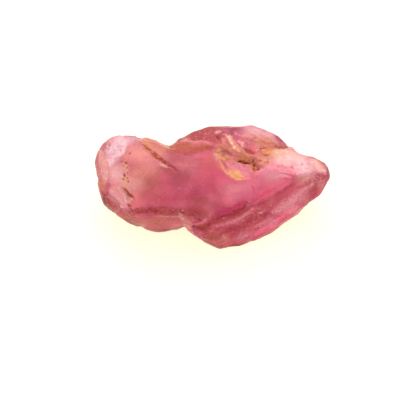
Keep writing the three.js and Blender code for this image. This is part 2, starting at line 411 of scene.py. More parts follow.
# Soft clouds of colour that seem to lie inside the stone: place, size, turn and amount of each.
clouds = {
    "washes": {
        "salmon": [((-6.6, 0.0), (0.9, 0.8), 0, 0.6), ((-6.2, 1.4), (2.9, 3.0), 0, 0.85),
                   ((-7.2, 0.9), (1.1, 1.6), 0, 0.6), ((-4.2, 2.9), (1.3, 0.9), -35, 0.6),
                   ((-5.9, -1.0), (1.3, 1.0), 0, 0.6)],
        "amber": [((-3.3, 2.6), (1.2, 0.8), -20, 0.5), ((-4.7, 0.5), (1.3, 1.2), -25, 0.85),
                  ((-5.9, 1.3), (0.9, 0.7), 0, 0.2), ((-4.8, -0.6), (2.0, 1.2), 0, 0.5),
                  ((-3.6, -1.0), (1.6, 1.0), 0, 0.4), ((-0.1, 1.8), (1.2, 1.5), 0, 0.5),
                  ((-0.6, -1.4), (1.4, 0.6), -10, 0.3), ((-2.6, 1.3), (3.0, 1.8), 0, 0.5),
                  ((-5.4, 1.3), (1.1, 1.0), 0, 0.4)],
        "plum": [((-1.4, -0.9), (1.6, 1.4), -15, 0.4), ((0.2, 0.2), (1.3, 1.5), 0, 0.3),
                 ((-2.6, 0.3), (0.9, 0.9), -30, 0.3)],
        "coral": [((-6.4, 0.1), (1.0, 0.8), 0, 0.6), ((-5.6, 1.0), (1.1, 0.8), 0, 0.5),
                  ((-5.3, 2.5), (2.6, 1.6), -12, 0.9), ((-4.0, 2.6), (1.5, 0.7), -38, 0.8),
                  ((-7.0, 0.6), (1.2, 1.5), 0, 0.6), ((-5.9, 0.3), (1.5, 1.2), 0, 0.8),
                  ((-1.8, 1.7), (1.6, 1.1), 0, 0.6), ((-8.4, 1.6), (0.8, 1.6), 0, 0.4),
                  ((-1.9, 3.3), (0.9, 0.6), 20, 0.4), ((-4.6, 1.4), (1.4, 1.0), 0, 0.7),
                  ((-6.5, 2.6), (1.4, 1.2), 0, 0.6), ((4.1, 1.0), (1.3, 0.7), 5, 0.6),
                  ((-0.6, -1.2), (1.5, 0.5), -8, 0.2)],
        "mauve": [((-2.0, 0.6), (3.2, 2.6), 0, 0.2), ((0.2, 1.8), (1.3, 1.3), 0, 0.25),
                  ((-2.8, -2.4), (3.4, 1.2), 0, 0.2), ((-1.0, -1.9), (2.0, 0.9), -8, 0.9),
                  ((0.5, -1.6), (1.3, 0.7), -30, 0.5), ((-1.4, -0.4), (1.9, 1.6), 0, 0.65),
                  ((-3.4, -1.0), (3.2, 1.1), 0, 0.75), ((-2.0, -2.7), (0.9, 0.7), -40, 0.55)],
        "garnetDark": [((-0.9, -2.0), (1.6, 0.9), -12, 0.4), ((-2.8, -2.1), (4.4, 1.1), 0, 0.3),
                       ((1.0, -2.5), (2.6, 0.8), 22, 0.3), ((-0.9, -3.2), (1.2, 0.6), -35, 0.5),
                       ((-5.4, -2.5), (1.7, 0.8), -18, 0.3), ((0.6, -2.2), (1.4, 0.7), 20, 0.4),
                       ((-2.4, 2.95), (1.2, 0.5), 12, 0.35), ((2.3, -1.95), (1.0, 0.5), 30, 0.5),
                       ((-0.7, -3.1), (1.0, 0.7), -20, 0.85), ((3.5, -2.7), (1.0, 0.5), 25, 0.3),
                       ((5.4, -1.0), (0.8, 0.4), 30, 0.25), ((-1.3, -2.3), (1.4, 0.9), -30, 0.35),
                       ((-0.5, -2.9), (1.0, 0.7), -20, 0.3), ((-1.0, -0.9), (1.8, 0.8), -5, 0.25)],
        "brick": [((-5.6, -1.75), (1.2, 0.7), -5, 0.4), ((-2.5, 2.9), (1.5, 0.7), 12, 0.65),
                  ((-0.9, -1.2), (1.8, 0.7), -5, 0.35), ((-2.0, 2.2), (2.2, 0.9), 10, 0.45),
                  ((-2.7, 2.3), (1.1, 0.8), -20, 0.5), ((2.4, -2.0), (1.3, 0.6), 28, 0.3),
                  ((5.6, 2.5), (0.8, 0.5), -20, 0.3), ((-3.8, 3.0), (1.0, 0.7), -30, 0.3),
                  ((1.4, 3.0), (0.8, 0.7), 0, 0.6), ((0.9, 2.9), (1.4, 0.7), 0, 0.4),
                  ((-3.4, -2.0), (4.4, 0.8), -3, 0.45), ((-0.6, -1.1), (1.0, 0.7), 0, 0.5),
                  ((-1.3, 0.1), (1.3, 1.0), 0, 0.2), ((-8.35, 2.5), (0.6, 1.0), 0, 0.5),
                  ((-8.4, 3.2), (0.8, 0.6), 0, 0.25), ((-5.2, 1.2), (1.2, 1.0), 0, 0.15),
                  ((5.4, 2.2), (1.0, 0.6), -20, 0.3), ((2.4, -1.9), (1.1, 0.5), 30, 0.3),
                  ((-2.4, -2.2), (1.2, 0.6), 0, 0.3)],
        "rust": [((-8.8, 1.4), (0.5, 2.6), 0, 0.3), ((-2.4, 2.95), (1.6, 0.6), 10, 0.75),
                 ((-1.3, 3.0), (1.4, 0.5), 0, 0.45), ((-4.0, 3.1), (1.4, 0.6), -25, 0.28),
                 ((0.4, 3.2), (0.9, 0.5), 0, 0.3), ((4.6, 3.2), (1.4, 0.6), -20, 0.25),
                 ((-6.4, -2.0), (1.0, 0.5), -20, 0.15)],
        "crimson": [((4.4, -0.6), (1.5, 0.4), 25, 0.3)],
        "hotPink": [((4.3, -0.35), (1.9, 0.55), 27, 0.8), ((5.6, 0.35), (0.9, 0.4), 30, 0.6),
                    ((4.5, -0.8), (1.1, 0.4), 27, 0.5)],
        "rose": [((2.4, -0.4), (1.8, 1.2), 20, 0.5), ((4.4, 0.7), (2.0, 1.0), 0, 0.3)],
        "blush": [((1.9, -0.35), (1.4, 1.1), 30, 0.95), ((0.9, 0.2), (1.2, 1.2), 0, 0.6),
                  ((3.4, 0.6), (1.4, 0.8), 10, 0.9), ((4.5, 0.8), (1.3, 0.7), 10, 0.9),
                  ((-1.8, 1.6), (1.4, 1.0), 0, 0.3), ((3.0, -0.4), (1.4, 0.8), 20, 0.5),
                  ((1.6, -0.2), (1.5, 1.0), 20, 0.3), ((3.2, -0.1), (2.0, 1.0), 15, 0.3),
                  ((-1.0, 1.0), (1.2, 0.8), 0, 0.3), ((5.2, 0.2), (1.3, 0.7), 25, 0.4),
                  ((2.2, 0.1), (1.5, 0.8), 10, 0.4), ((2.5, 0.15), (1.7, 0.5), 8, 0.5)],
        "frostAndHighlight": [((5.0, 0.9), (1.2, 0.7), 0, 0.15), ((1.7, -0.2), (0.9, 0.6), 20, 0.1)],
        "shell": [((-6.0, 0.0), (1.5, 1.3), 0, 0.35), ((1.2, -0.3), (1.3, 0.9), 15, 0.2),
                  ((-6.6, 0.1), (0.9, 0.8), 0, 0.35), ((5.4, 0.9), (0.9, 0.5), 0, 0.3),
                  ((-7.4, 2.0), (0.6, 0.6), 0, 0.4), ((0.5, -0.9), (0.8, 0.5), 0, 0.15),
                  ((2.4, 0.0), (1.3, 0.6), 15, 0.14), ((4.6, 0.4), (1.4, 0.7), 20, 0.25),
                  ((-7.5, -0.9), (0.7, 0.6), -40, 0.35), ((-7.3, 1.0), (0.7, 0.8), 0, 0.15),
                  ((-2.0, 3.6), (0.6, 0.2), 10, 0.4), ((7.3, -1.1), (0.8, 0.5), 40, 0.25),
                  ((4.6, -1.1), (0.7, 0.4), 25, 0.12)],
        "tan": [((-3.2, 3.0), (1.0, 0.5), 10, 0.4), ((0.0, 1.9), (0.9, 1.2), 0, 0.2),
                ((-4.2, 3.1), (1.3, 0.7), -25, 0.5), ((4.4, 2.4), (1.6, 0.8), -10, 0.6),
                ((4.5, 3.3), (1.6, 0.6), -20, 0.4), ((-4.4, -0.1), (1.2, 0.9), 0, 0.12),
                ((-4.4, -2.8), (1.8, 0.5), 0, 0.25), ((-0.6, -2.0), (1.8, 0.6), -5, 0.2),
                ((1.3, 3.3), (0.8, 0.6), -50, 0.2)],
        "apricot": [((-5.4, 1.0), (1.1, 1.2), 0, 0.1), ((-4.3, 1.0), (1.3, 1.0), 0, 0.1),
                    ((-5.5, 1.1), (0.9, 0.3), -15, 0.3), ((-6.6, 0.0), (0.8, 0.7), 0, 0.3),
                    ((8.2, 1.5), (0.5, 0.4), -30, 0.4), ((5.3, 2.3), (0.9, 0.5), -20, 0.35),
                    ((1.8, 1.4), (0.7, 0.5), 0, 0.4), ((0.6, 1.7), (0.4, 0.6), 0, 0.4)],
    },
}

# The long crack over the left shoulder, brown inside, with a pale lip under its lower half.
shoulderCrack = {
    "line": [(-5.5, 3.55), (-5.05, 3.04), (-4.47, 2.57), (-3.77, 1.97), (-3.44, 1.77), (-2.77, 1.2)],
    # laid one over the other along the line: the groove, the rusty skin along it and the brown in it
    "layers": [{"width": 0.19, "depth": 0.1, "soft": 0.9},
               {"width": 0.285, "soft": 0.9, "grit": 1.2, "brick": 0.9, "rust": 0.5},
               {"width": 0.19, "grit": 0.8, "rust": 0.95}],
    "step": 0.12,  # how far the wedge beyond it lies lower
    "stepReach": 1.1,
    "shade": 0.6,  # plum along its far side
    "shadeReach": 0.7,
    "strokes": [
        {"line": [(-5.3, 3.3), (-4.9, 2.9), (-4.5, 2.55), (-4.2, 2.3)], "width": 0.42, "soft": 0.9,
         "grit": 1.0, "tan": 0.6, "rust": 0.75},
        {"line": [(-3.95, 1.72), (-3.6, 1.55), (-3.3, 1.38)], "width": 0.11, "depth": -0.06, "cream": 0.85},
        {"line": [(-3.79, 3.38), (-3.5, 3.2), (-3.15, 2.95)], "width": 0.24, "cream": 0.7, "ochre": 0.45},
        {"line": [(-5.7, 3.7), (-5.0, 3.72), (-4.3, 3.6), (-3.6, 3.25)], "width": 0.24, "soft": 0.9,
         "grit": 0.7, "ochre": 0.5},
    ],
    "spots": [
        {"at": (-5.05, 3.42), "size": (0.62, 0.42), "turn": -30, "soft": 1.0, "grit": 0.7, "tan": 0.95,
         "ochre": 0.25},
        {"at": (-4.45, 3.45), "size": (0.4, 0.25), "turn": -20, "soft": 0.9, "grit": 1.2, "brick": 0.7,
         "apricot": 0.4},
        {"at": (-3.1, 3.0), "size": (0.16, 0.12), "depth": 0.1, "rust": 0.9},
        {"at": (-4.3, 3.0), "size": (0.9, 0.4), "turn": -40, "amber": 0.5},
    ],
}


def openShoulderCrack():
    layRegion(shoulderCrack)
    distance, place, side = marks.follow(shoulderCrack["line"])
    wedge = smoothStep(shoulderCrack["stepReach"], 0.0, distance) * (side > 0) * smoothStep(1.0, 0.7, place)
    marks.sink += wedge * shoulderCrack["step"] * marks.front
    shade = smoothStep(shoulderCrack["shadeReach"], 0.0, distance) * (side > 0) * smoothStep(0.1, 0.7, place)
    marks.wash("plum", shade * shoulderCrack["shade"])
    for layer in shoulderCrack["layers"]:
        layStroke(shoulderCrack["line"], **layer)


# A column of small pits with orange lips, partly iron stain and partly painted highlight, and the two short
# cracks below it.
pitColumn = {
    "edge": [(-6.1, 2.9), (-6.4, 2.0), (-6.5, 1.2), (-6.6, 0.4), (-6.9, -0.1)],
    "step": 0.05,  # how far the skin left of the edge lies lower
    "stepReach": 1.2,
    "stepEnds": (0.15, 0.15),  # shares of its length over which it fades in and out
    "pits": [(-6.52, 1.73, 0.2), (-6.38, 1.36, 0.13), (-6.66, 0.86, 0.18), (-6.5, 0.62, 0.12),
             (-6.22, 2.55, 0.11), (-6.42, 0.36, 0.13), (-6.95, 1.95, 0.1), (-6.7, 1.52, 0.12),
             (-6.75, 0.55, 0.12), (-6.45, 1.05, 0.09)],
    "pitDepth": 0.08,
    "pitMouth": 1.2,  # times the size, how wide the hole opens
    "pitNarrow": 0.7,  # times the size, how wide the brown in it is
    "pitTurn": -55,
    "strokes": [
        # the raised apricot and cream lips: iron stain with a painted highlight, in this stroke and the next
        # two
        {"line": [(-6.8, 1.75), (-6.62, 1.55), (-6.42, 1.42), (-6.36, 1.15)], "width": 0.24, "depth": -0.05,
         "apricot": 1.0, "cream": 0.35},
        {"line": [(-6.9, 0.85), (-6.72, 0.68), (-6.5, 0.5)], "width": 0.24, "depth": -0.05, "apricot": 1.0,
         "cream": 0.35},
        {"line": [(-6.75, 0.5), (-6.58, 0.3), (-6.45, 0.15)], "width": 0.14, "depth": -0.04,
         "apricot": 0.9},
        {"line": [(-6.94, -0.11), (-6.6, -0.31), (-6.35, -0.64), (-6.05, -0.98)], "width": 0.25,
         "depth": 0.06, "grit": 0.8, "brick": 1.0, "rust": 0.6},
        {"line": [(-6.6, -0.3), (-6.32, -0.68), (-6.08, -0.95)], "width": 0.16, "depth": 0.04, "grit": 0.5,
         "rust": 0.95},
        {"line": [(-6.42, -1.3), (-6.25, -1.65), (-6.08, -1.9)], "width": 0.2, "depth": 0.05, "grit": 0.8,
         "brick": 1.0, "rust": 0.8},
    ],
    "spots": [
        {"at": (-6.2, -1.1), "size": (0.15, 0.1), "depth": -0.03, "apricot": 0.9},
        {"at": (-6.21, 2.57), "size": (0.14, 0.1), "turn": -50, "depth": 0.03, "grit": 0.8, "brick": 0.7},
        {"at": (-5.9, 1.25), "size": (0.7, 0.35), "turn": -20, "soft": 0.9, "amber": 0.45},
    ],
}


def pitShoulder():
    distance, place, side = marks.follow(pitColumn["edge"])
    left = smoothStep(pitColumn["stepReach"], 0.0, distance) * (side < 0)
    left *= fadedEnds(place, *pitColumn["stepEnds"])
    marks.sink += left * pitColumn["step"] * marks.front
    layRegion(pitColumn)
    for x, y, size in pitColumn["pits"]:
        mouth, narrow = size * pitColumn["pitMouth"], size * pitColumn["pitNarrow"]
        laySpot((x, y), (mouth, mouth), depth=pitColumn["pitDepth"], soft=0.9)
        laySpot((x, y), (size, narrow), pitColumn["pitTurn"], soft=0.5, grit=0.8, rust=0.9)


# The pale glossy facet on the upper left, its paleness a painted reflection of the light, and painted pale
# light along the top rim; the glassy corner facet below it cut into narrow steps with painted highlights and
# painted shade, and painted glints; and the duller rim round both.
leftCorner = {
    "patches": [
        {"outline": [(-8.05, 3.05), (-7.33, 3.5), (-6.49, 3.66), (-6.35, 3.3), (-6.75, 2.6), (-7.45, 2.05),
                     (-7.85, 1.35), (-8.08, 2.1)], "edge": 0.26, "grit": 0.8, "frostAndHighlight": 1.0, "highlightWhite": 0.25},
    ],
    "strokes": [
        {"line": [(-8.4, 0.9), (-8.4, 0.45), (-8.2, -0.2)], "width": 0.35, "soft": 0.9, "grit": 1.3,
         "brick": 0.6, "apricot": 0.3},
        {"line": [(-7.6, 1.75), (-7.25, 2.1), (-6.85, 2.4), (-6.4, 2.75)], "width": 0.3, "soft": 0.9,
         "grit": 0.6, "brick": 0.35, "amber": 0.4},
        {"line": [(-8.7, 2.9), (-8.5, 2.0), (-8.3, 1.2), (-8.25, 0.4)], "width": 0.6, "soft": 1.0,
         "grit": 1.5, "coral": 0.5, "frostAndHighlight": 0.3, "brick": 0.3},
        {"line": [(-8.0, 3.35), (-8.2, 2.6), (-8.05, 1.7), (-7.9, 1.2)], "width": 0.12, "soft": 0.9,
         "grit": 1.0, "brick": 0.45},
        {"line": [(-6.6, 3.95), (-7.4, 3.6), (-8.1, 3.1)], "width": 0.4, "soft": 1.0, "grit": 0.8,
         "coral": 0.8, "brick": 0.35},
    ],
    "outline": [(-7.79, -0.11), (-6.9, -0.15), (-6.5, -0.45), (-6.11, -0.97), (-6.38, -1.44),
                (-6.18, -1.98), (-6.91, -1.51), (-7.79, -0.77), (-7.99, -0.44)],
    "steps": {"turn": -48, "sizes": (0.16, 1.2)},
    "sunk": 0.07,
    "stepDepth": 0.05,
    # the steps' pale and dark stains are painted highlights on the glassy steps and painted shade between
    # them
    "stepLightAndShade": [("shell", 1.0, 0.3, 0.8), ("frostAndHighlight", 0.0, 0.3, 1.0), ("coral", -0.8, 0.3, 0.6),
                   ("brick", -1.6, -0.2, 0.6)],
    # painted glints: short bright strokes on the corner facet
    "glint": {"width": 0.07, "depth": -0.04, "soft": 0.9, "grit": 0.8, "shell": 0.9, "highlightWhite": 0.45},
    "glints": [[(-7.78, 0.42), (-7.66, 0.1)], [(-7.35, 0.05), (-7.5, -0.25)], [(-7.12, 0.0), (-7.25, -0.4)],
               [(-7.75, -0.45), (-7.1, -0.95), (-6.7, -1.3)], [(-7.0, -1.5), (-6.65, -1.62)],
               [(-6.9, -0.45), (-6.6, -0.9)], [(-6.6, -1.0), (-6.5, -1.35)], [(-7.9, -0.3), (-7.7, -0.6)]],
    "washes": {
        # the first frost wash is painted pale light along the top rim
        "frostAndHighlight": [((-6.6, 3.7), (2.2, 0.7), 5, 0.85), ((-7.2, 0.9), (0.9, 1.0), -10, 0.3)],
        "highlightWhite": [((-7.4, 1.1), (0.5, 0.7), 0, 0.15)],
        "shell": [((-7.2, 0.9), (1.1, 1.2), -10, 0.7), ((-8.3, 1.8), (0.7, 1.8), 5, 0.35),
                  ((-7.2, -0.8), (1.0, 0.9), -40, 0.2)],
        "blush": [((-7.1, 0.7), (1.1, 1.2), -10, 0.8)],
        "coral": [((-8.3, 2.0), (0.9, 2.2), 10, 0.7), ((-7.6, 3.6), (1.0, 0.5), 25, 0.6),
                  ((-7.0, 0.8), (1.1, 1.2), 0, 0.85)],
    },
}


def leftCornerHighlights():
    layRegion(leftCorner)
    facet = marks.inside(leftCorner["outline"], edge=0.1)
    steps = grain(ownStretched(**leftCorner["steps"]), 1.0, octaves=2, seed=21)
    marks.sink += facet * (leftCorner["sunk"] + leftCorner["stepDepth"] * steps)
    layGrain(marks.stain, facet, steps, leftCorner["stepLightAndShade"])
    for line in leftCorner["glints"]:
        layStroke(line, **leftCorner["glint"])


# The rough shelf under the left lobe's broad face, dark above with painted shade in its sunk groove and a
# thin painted highlight along the groove's lower edge, and salmon below.
lowerShelf = {
    "line": [(-6.15, -1.92), (-5.3, -1.9), (-4.57, -1.88), (-3.18, -1.96), (-2.11, -2.05), (-1.3, -2.25)],
    "width": 0.72,
    "depth": 0.03,
    "rubble": (1.0, 0.6, 0.8),  # how deep it is cut everywhere, by the coarse grain and by the fine grain
    "dark": (0.6, 0.4, 0.7),  # the same for the painted shade in it
    "red": 0.7,
    "strokes": [
        # a painted highlight along the groove's lower edge
        {"line": [(-4.3, -2.34), (-3.2, -2.3), (-2.3, -2.36)], "width": 0.09, "depth": -0.04, "grit": 1.2,
         "frostAndHighlight": 0.25},
        {"line": [(-8.75, 0.1), (-8.35, -0.9), (-7.39, -1.85), (-6.5, -2.4), (-5.3, -2.85)], "width": 0.85,
         "soft": 0.95, "brick": 1.0},
        {"line": [(-8.5, -0.4), (-8.0, -1.3), (-7.2, -1.9), (-6.2, -2.4), (-5.2, -2.75)], "width": 0.55,
         "soft": 0.9, "grit": 1.0, "brick": 1.0, "garnetDark": 0.35},
        {"line": [(-6.3, -1.95), (-5.8, -2.05), (-5.2, -2.0)], "width": 0.4, "soft": 0.9, "grit": 0.6,
         "garnetDark": 0.7},
        {"line": [(-8.7, 0.5), (-8.5, 0.1), (-8.3, -0.4)], "width": 0.3, "soft": 0.9, "grit": 1.2,
         "tan": 0.7, "brick": 0.5},
        {"line": [(-5.0, -3.25), (-3.9, -3.35), (-2.8, -3.2)], "width": 0.3, "soft": 0.9, "crimson": 0.6},
    ],
    "washes": {
        "brick": [((-4.2, -2.9), (3.2, 1.5), -3, 0.85), ((-1.9, -2.8), (0.7, 0.6), -40, 0.4)],
        "amber": [((-3.2, -2.6), (1.4, 0.42), 5, 0.6)],
    },
}


def cutShelf():
    band = marks.stroke(lowerShelf["line"], lowerShelf["width"], soft=1.0)
    even, lumps, grit = lowerShelf["rubble"]
    marks.sink += band * lowerShelf["depth"] * (even + lumps * coarse + grit * fine)
    even, lumps, grit = lowerShelf["dark"]
    marks.stain("garnetDark", band * np.clip(even + lumps * coarse + grit * fine, 0, 1))
    marks.wash("brick", band * lowerShelf["red"])
    layRegion(lowerShelf)


# The step at the lower notch, darkened by painted shade in its sunk parts and with a painted highlight along
# its raised ledge, with a folded tip to its left.
notchStep = {
    "strokes": [
        # painted shade in the sunk step, here and in the next stroke
        {"line": [(-1.5, -2.2), (-1.15, -2.5), (-0.75, -2.55)], "width": 0.4, "depth": 0.12, "soft": 0.9,
         "grit": 0.4, "garnetDark": 0.9},
        {"line": [(-1.45, -3.1), (-1.0, -3.25), (-0.5, -3.1), (0.0, -2.8)], "width": 0.55, "depth": 0.12,
         "soft": 0.9, "grit": 0.2, "garnetDark": 1.0},
        # painted highlight along the raised ledge
        {"line": [(-1.45, -2.85), (-1.1, -2.84), (-0.75, -2.72), (-0.38, -2.42)], "width": 0.14,
         "depth": -0.12, "petal": 1.0, "blush": 0.5},
        {"line": [(-2.5, -2.1), (-2.1, -2.6), (-1.6, -3.25)], "width": 0.34, "soft": 0.6, "coral": 0.7,
         "shell": 0.2},
    ],
    "foldLine": [(-2.5, -2.15), (-2.05, -2.62), (-1.6, -3.2)],
    "foldWidth": 0.3,
    "foldDepth": 0.07,
    "foldSteps": {"turn": -48, "sizes": (0.12, 0.9)},
    "foldStains": [("shell", 0.9, 0.3, 1.0), ("brick", -0.9, 0.2, 1.0)],
}


def breakNotch():
    layRegion(notchStep)
    fold = marks.stroke(notchStep["foldLine"], notchStep["foldWidth"], soft=0.6)
    steps = grain(ownStretched(**notchStep["foldSteps"]), 1.0, octaves=2, seed=31)
    marks.sink += fold * steps * notchStep["foldDepth"]
    layGrain(marks.stain, fold, steps, notchStep["foldStains"])


# The dark cap, the pale ridge under it and the brown fold below that.
darkCap = {
    "patches": [
        {"outline": [(-3.4, 3.1), (-2.4, 3.9), (-1.2, 4.5), (0.6, 4.8), (1.2, 4.2), (0.5, 3.2),
                     (-0.3, 3.42), (-2.2, 3.45)], "edge": 0.25, "grit": 0.3, "brick": 1.0,
         "garnetDark": 0.5},
    ],
    "strokes": [
        {"line": [(-2.6, 3.42), (-1.26, 3.42), (-0.58, 3.4), (-0.1, 3.2)], "width": 0.17, "soft": 0.9,
         "depth": -0.04, "coral": 0.8, "apricot": 0.2},
        {"line": [(-2.2, 3.42), (-1.26, 3.42), (-0.58, 3.4)], "width": 0.07, "grit": 1.2, "apricot": 0.3},
        {"line": [(-3.2, 3.1), (-2.5, 3.05), (-1.6, 2.95), (-0.8, 2.95), (0.1, 3.0)], "width": 0.62,
         "soft": 1.0, "grit": 0.25, "brick": 1.0, "tan": 0.3, "rust": 0.72},
        {"line": [(-2.9, 2.75), (-2.2, 2.55), (-1.4, 2.6), (-0.7, 2.8)], "width": 0.75, "soft": 1.0,
         "grit": 0.2, "brick": 0.9, "garnetDark": 0.35},
        {"line": [(0.4, 3.9), (0.6, 3.6), (0.75, 3.3)], "width": 0.16, "depth": 0.08, "garnetDark": 0.8},
        {"line": [(-2.9, 3.35), (-2.2, 3.9), (-1.2, 4.35)], "width": 0.2, "soft": 0.9, "grit": 0.6,
         "garnetDark": 0.5},
    ],
    "spots": [
        # a painted highlight and a painted glint on the cap
        {"at": (0.53, 4.2), "size": (0.36, 0.18), "turn": 25, "grit": 0.8, "frostAndHighlight": 0.45},
        {"at": (0.88, 4.0), "size": (0.08, 0.06), "depth": -0.03, "frostAndHighlight": 0.8},
        {"at": (0.68, 3.54), "size": (0.4, 0.3), "soft": 0.9, "grit": 0.5, "brick": 0.7, "rust": 0.2},
    ],
}

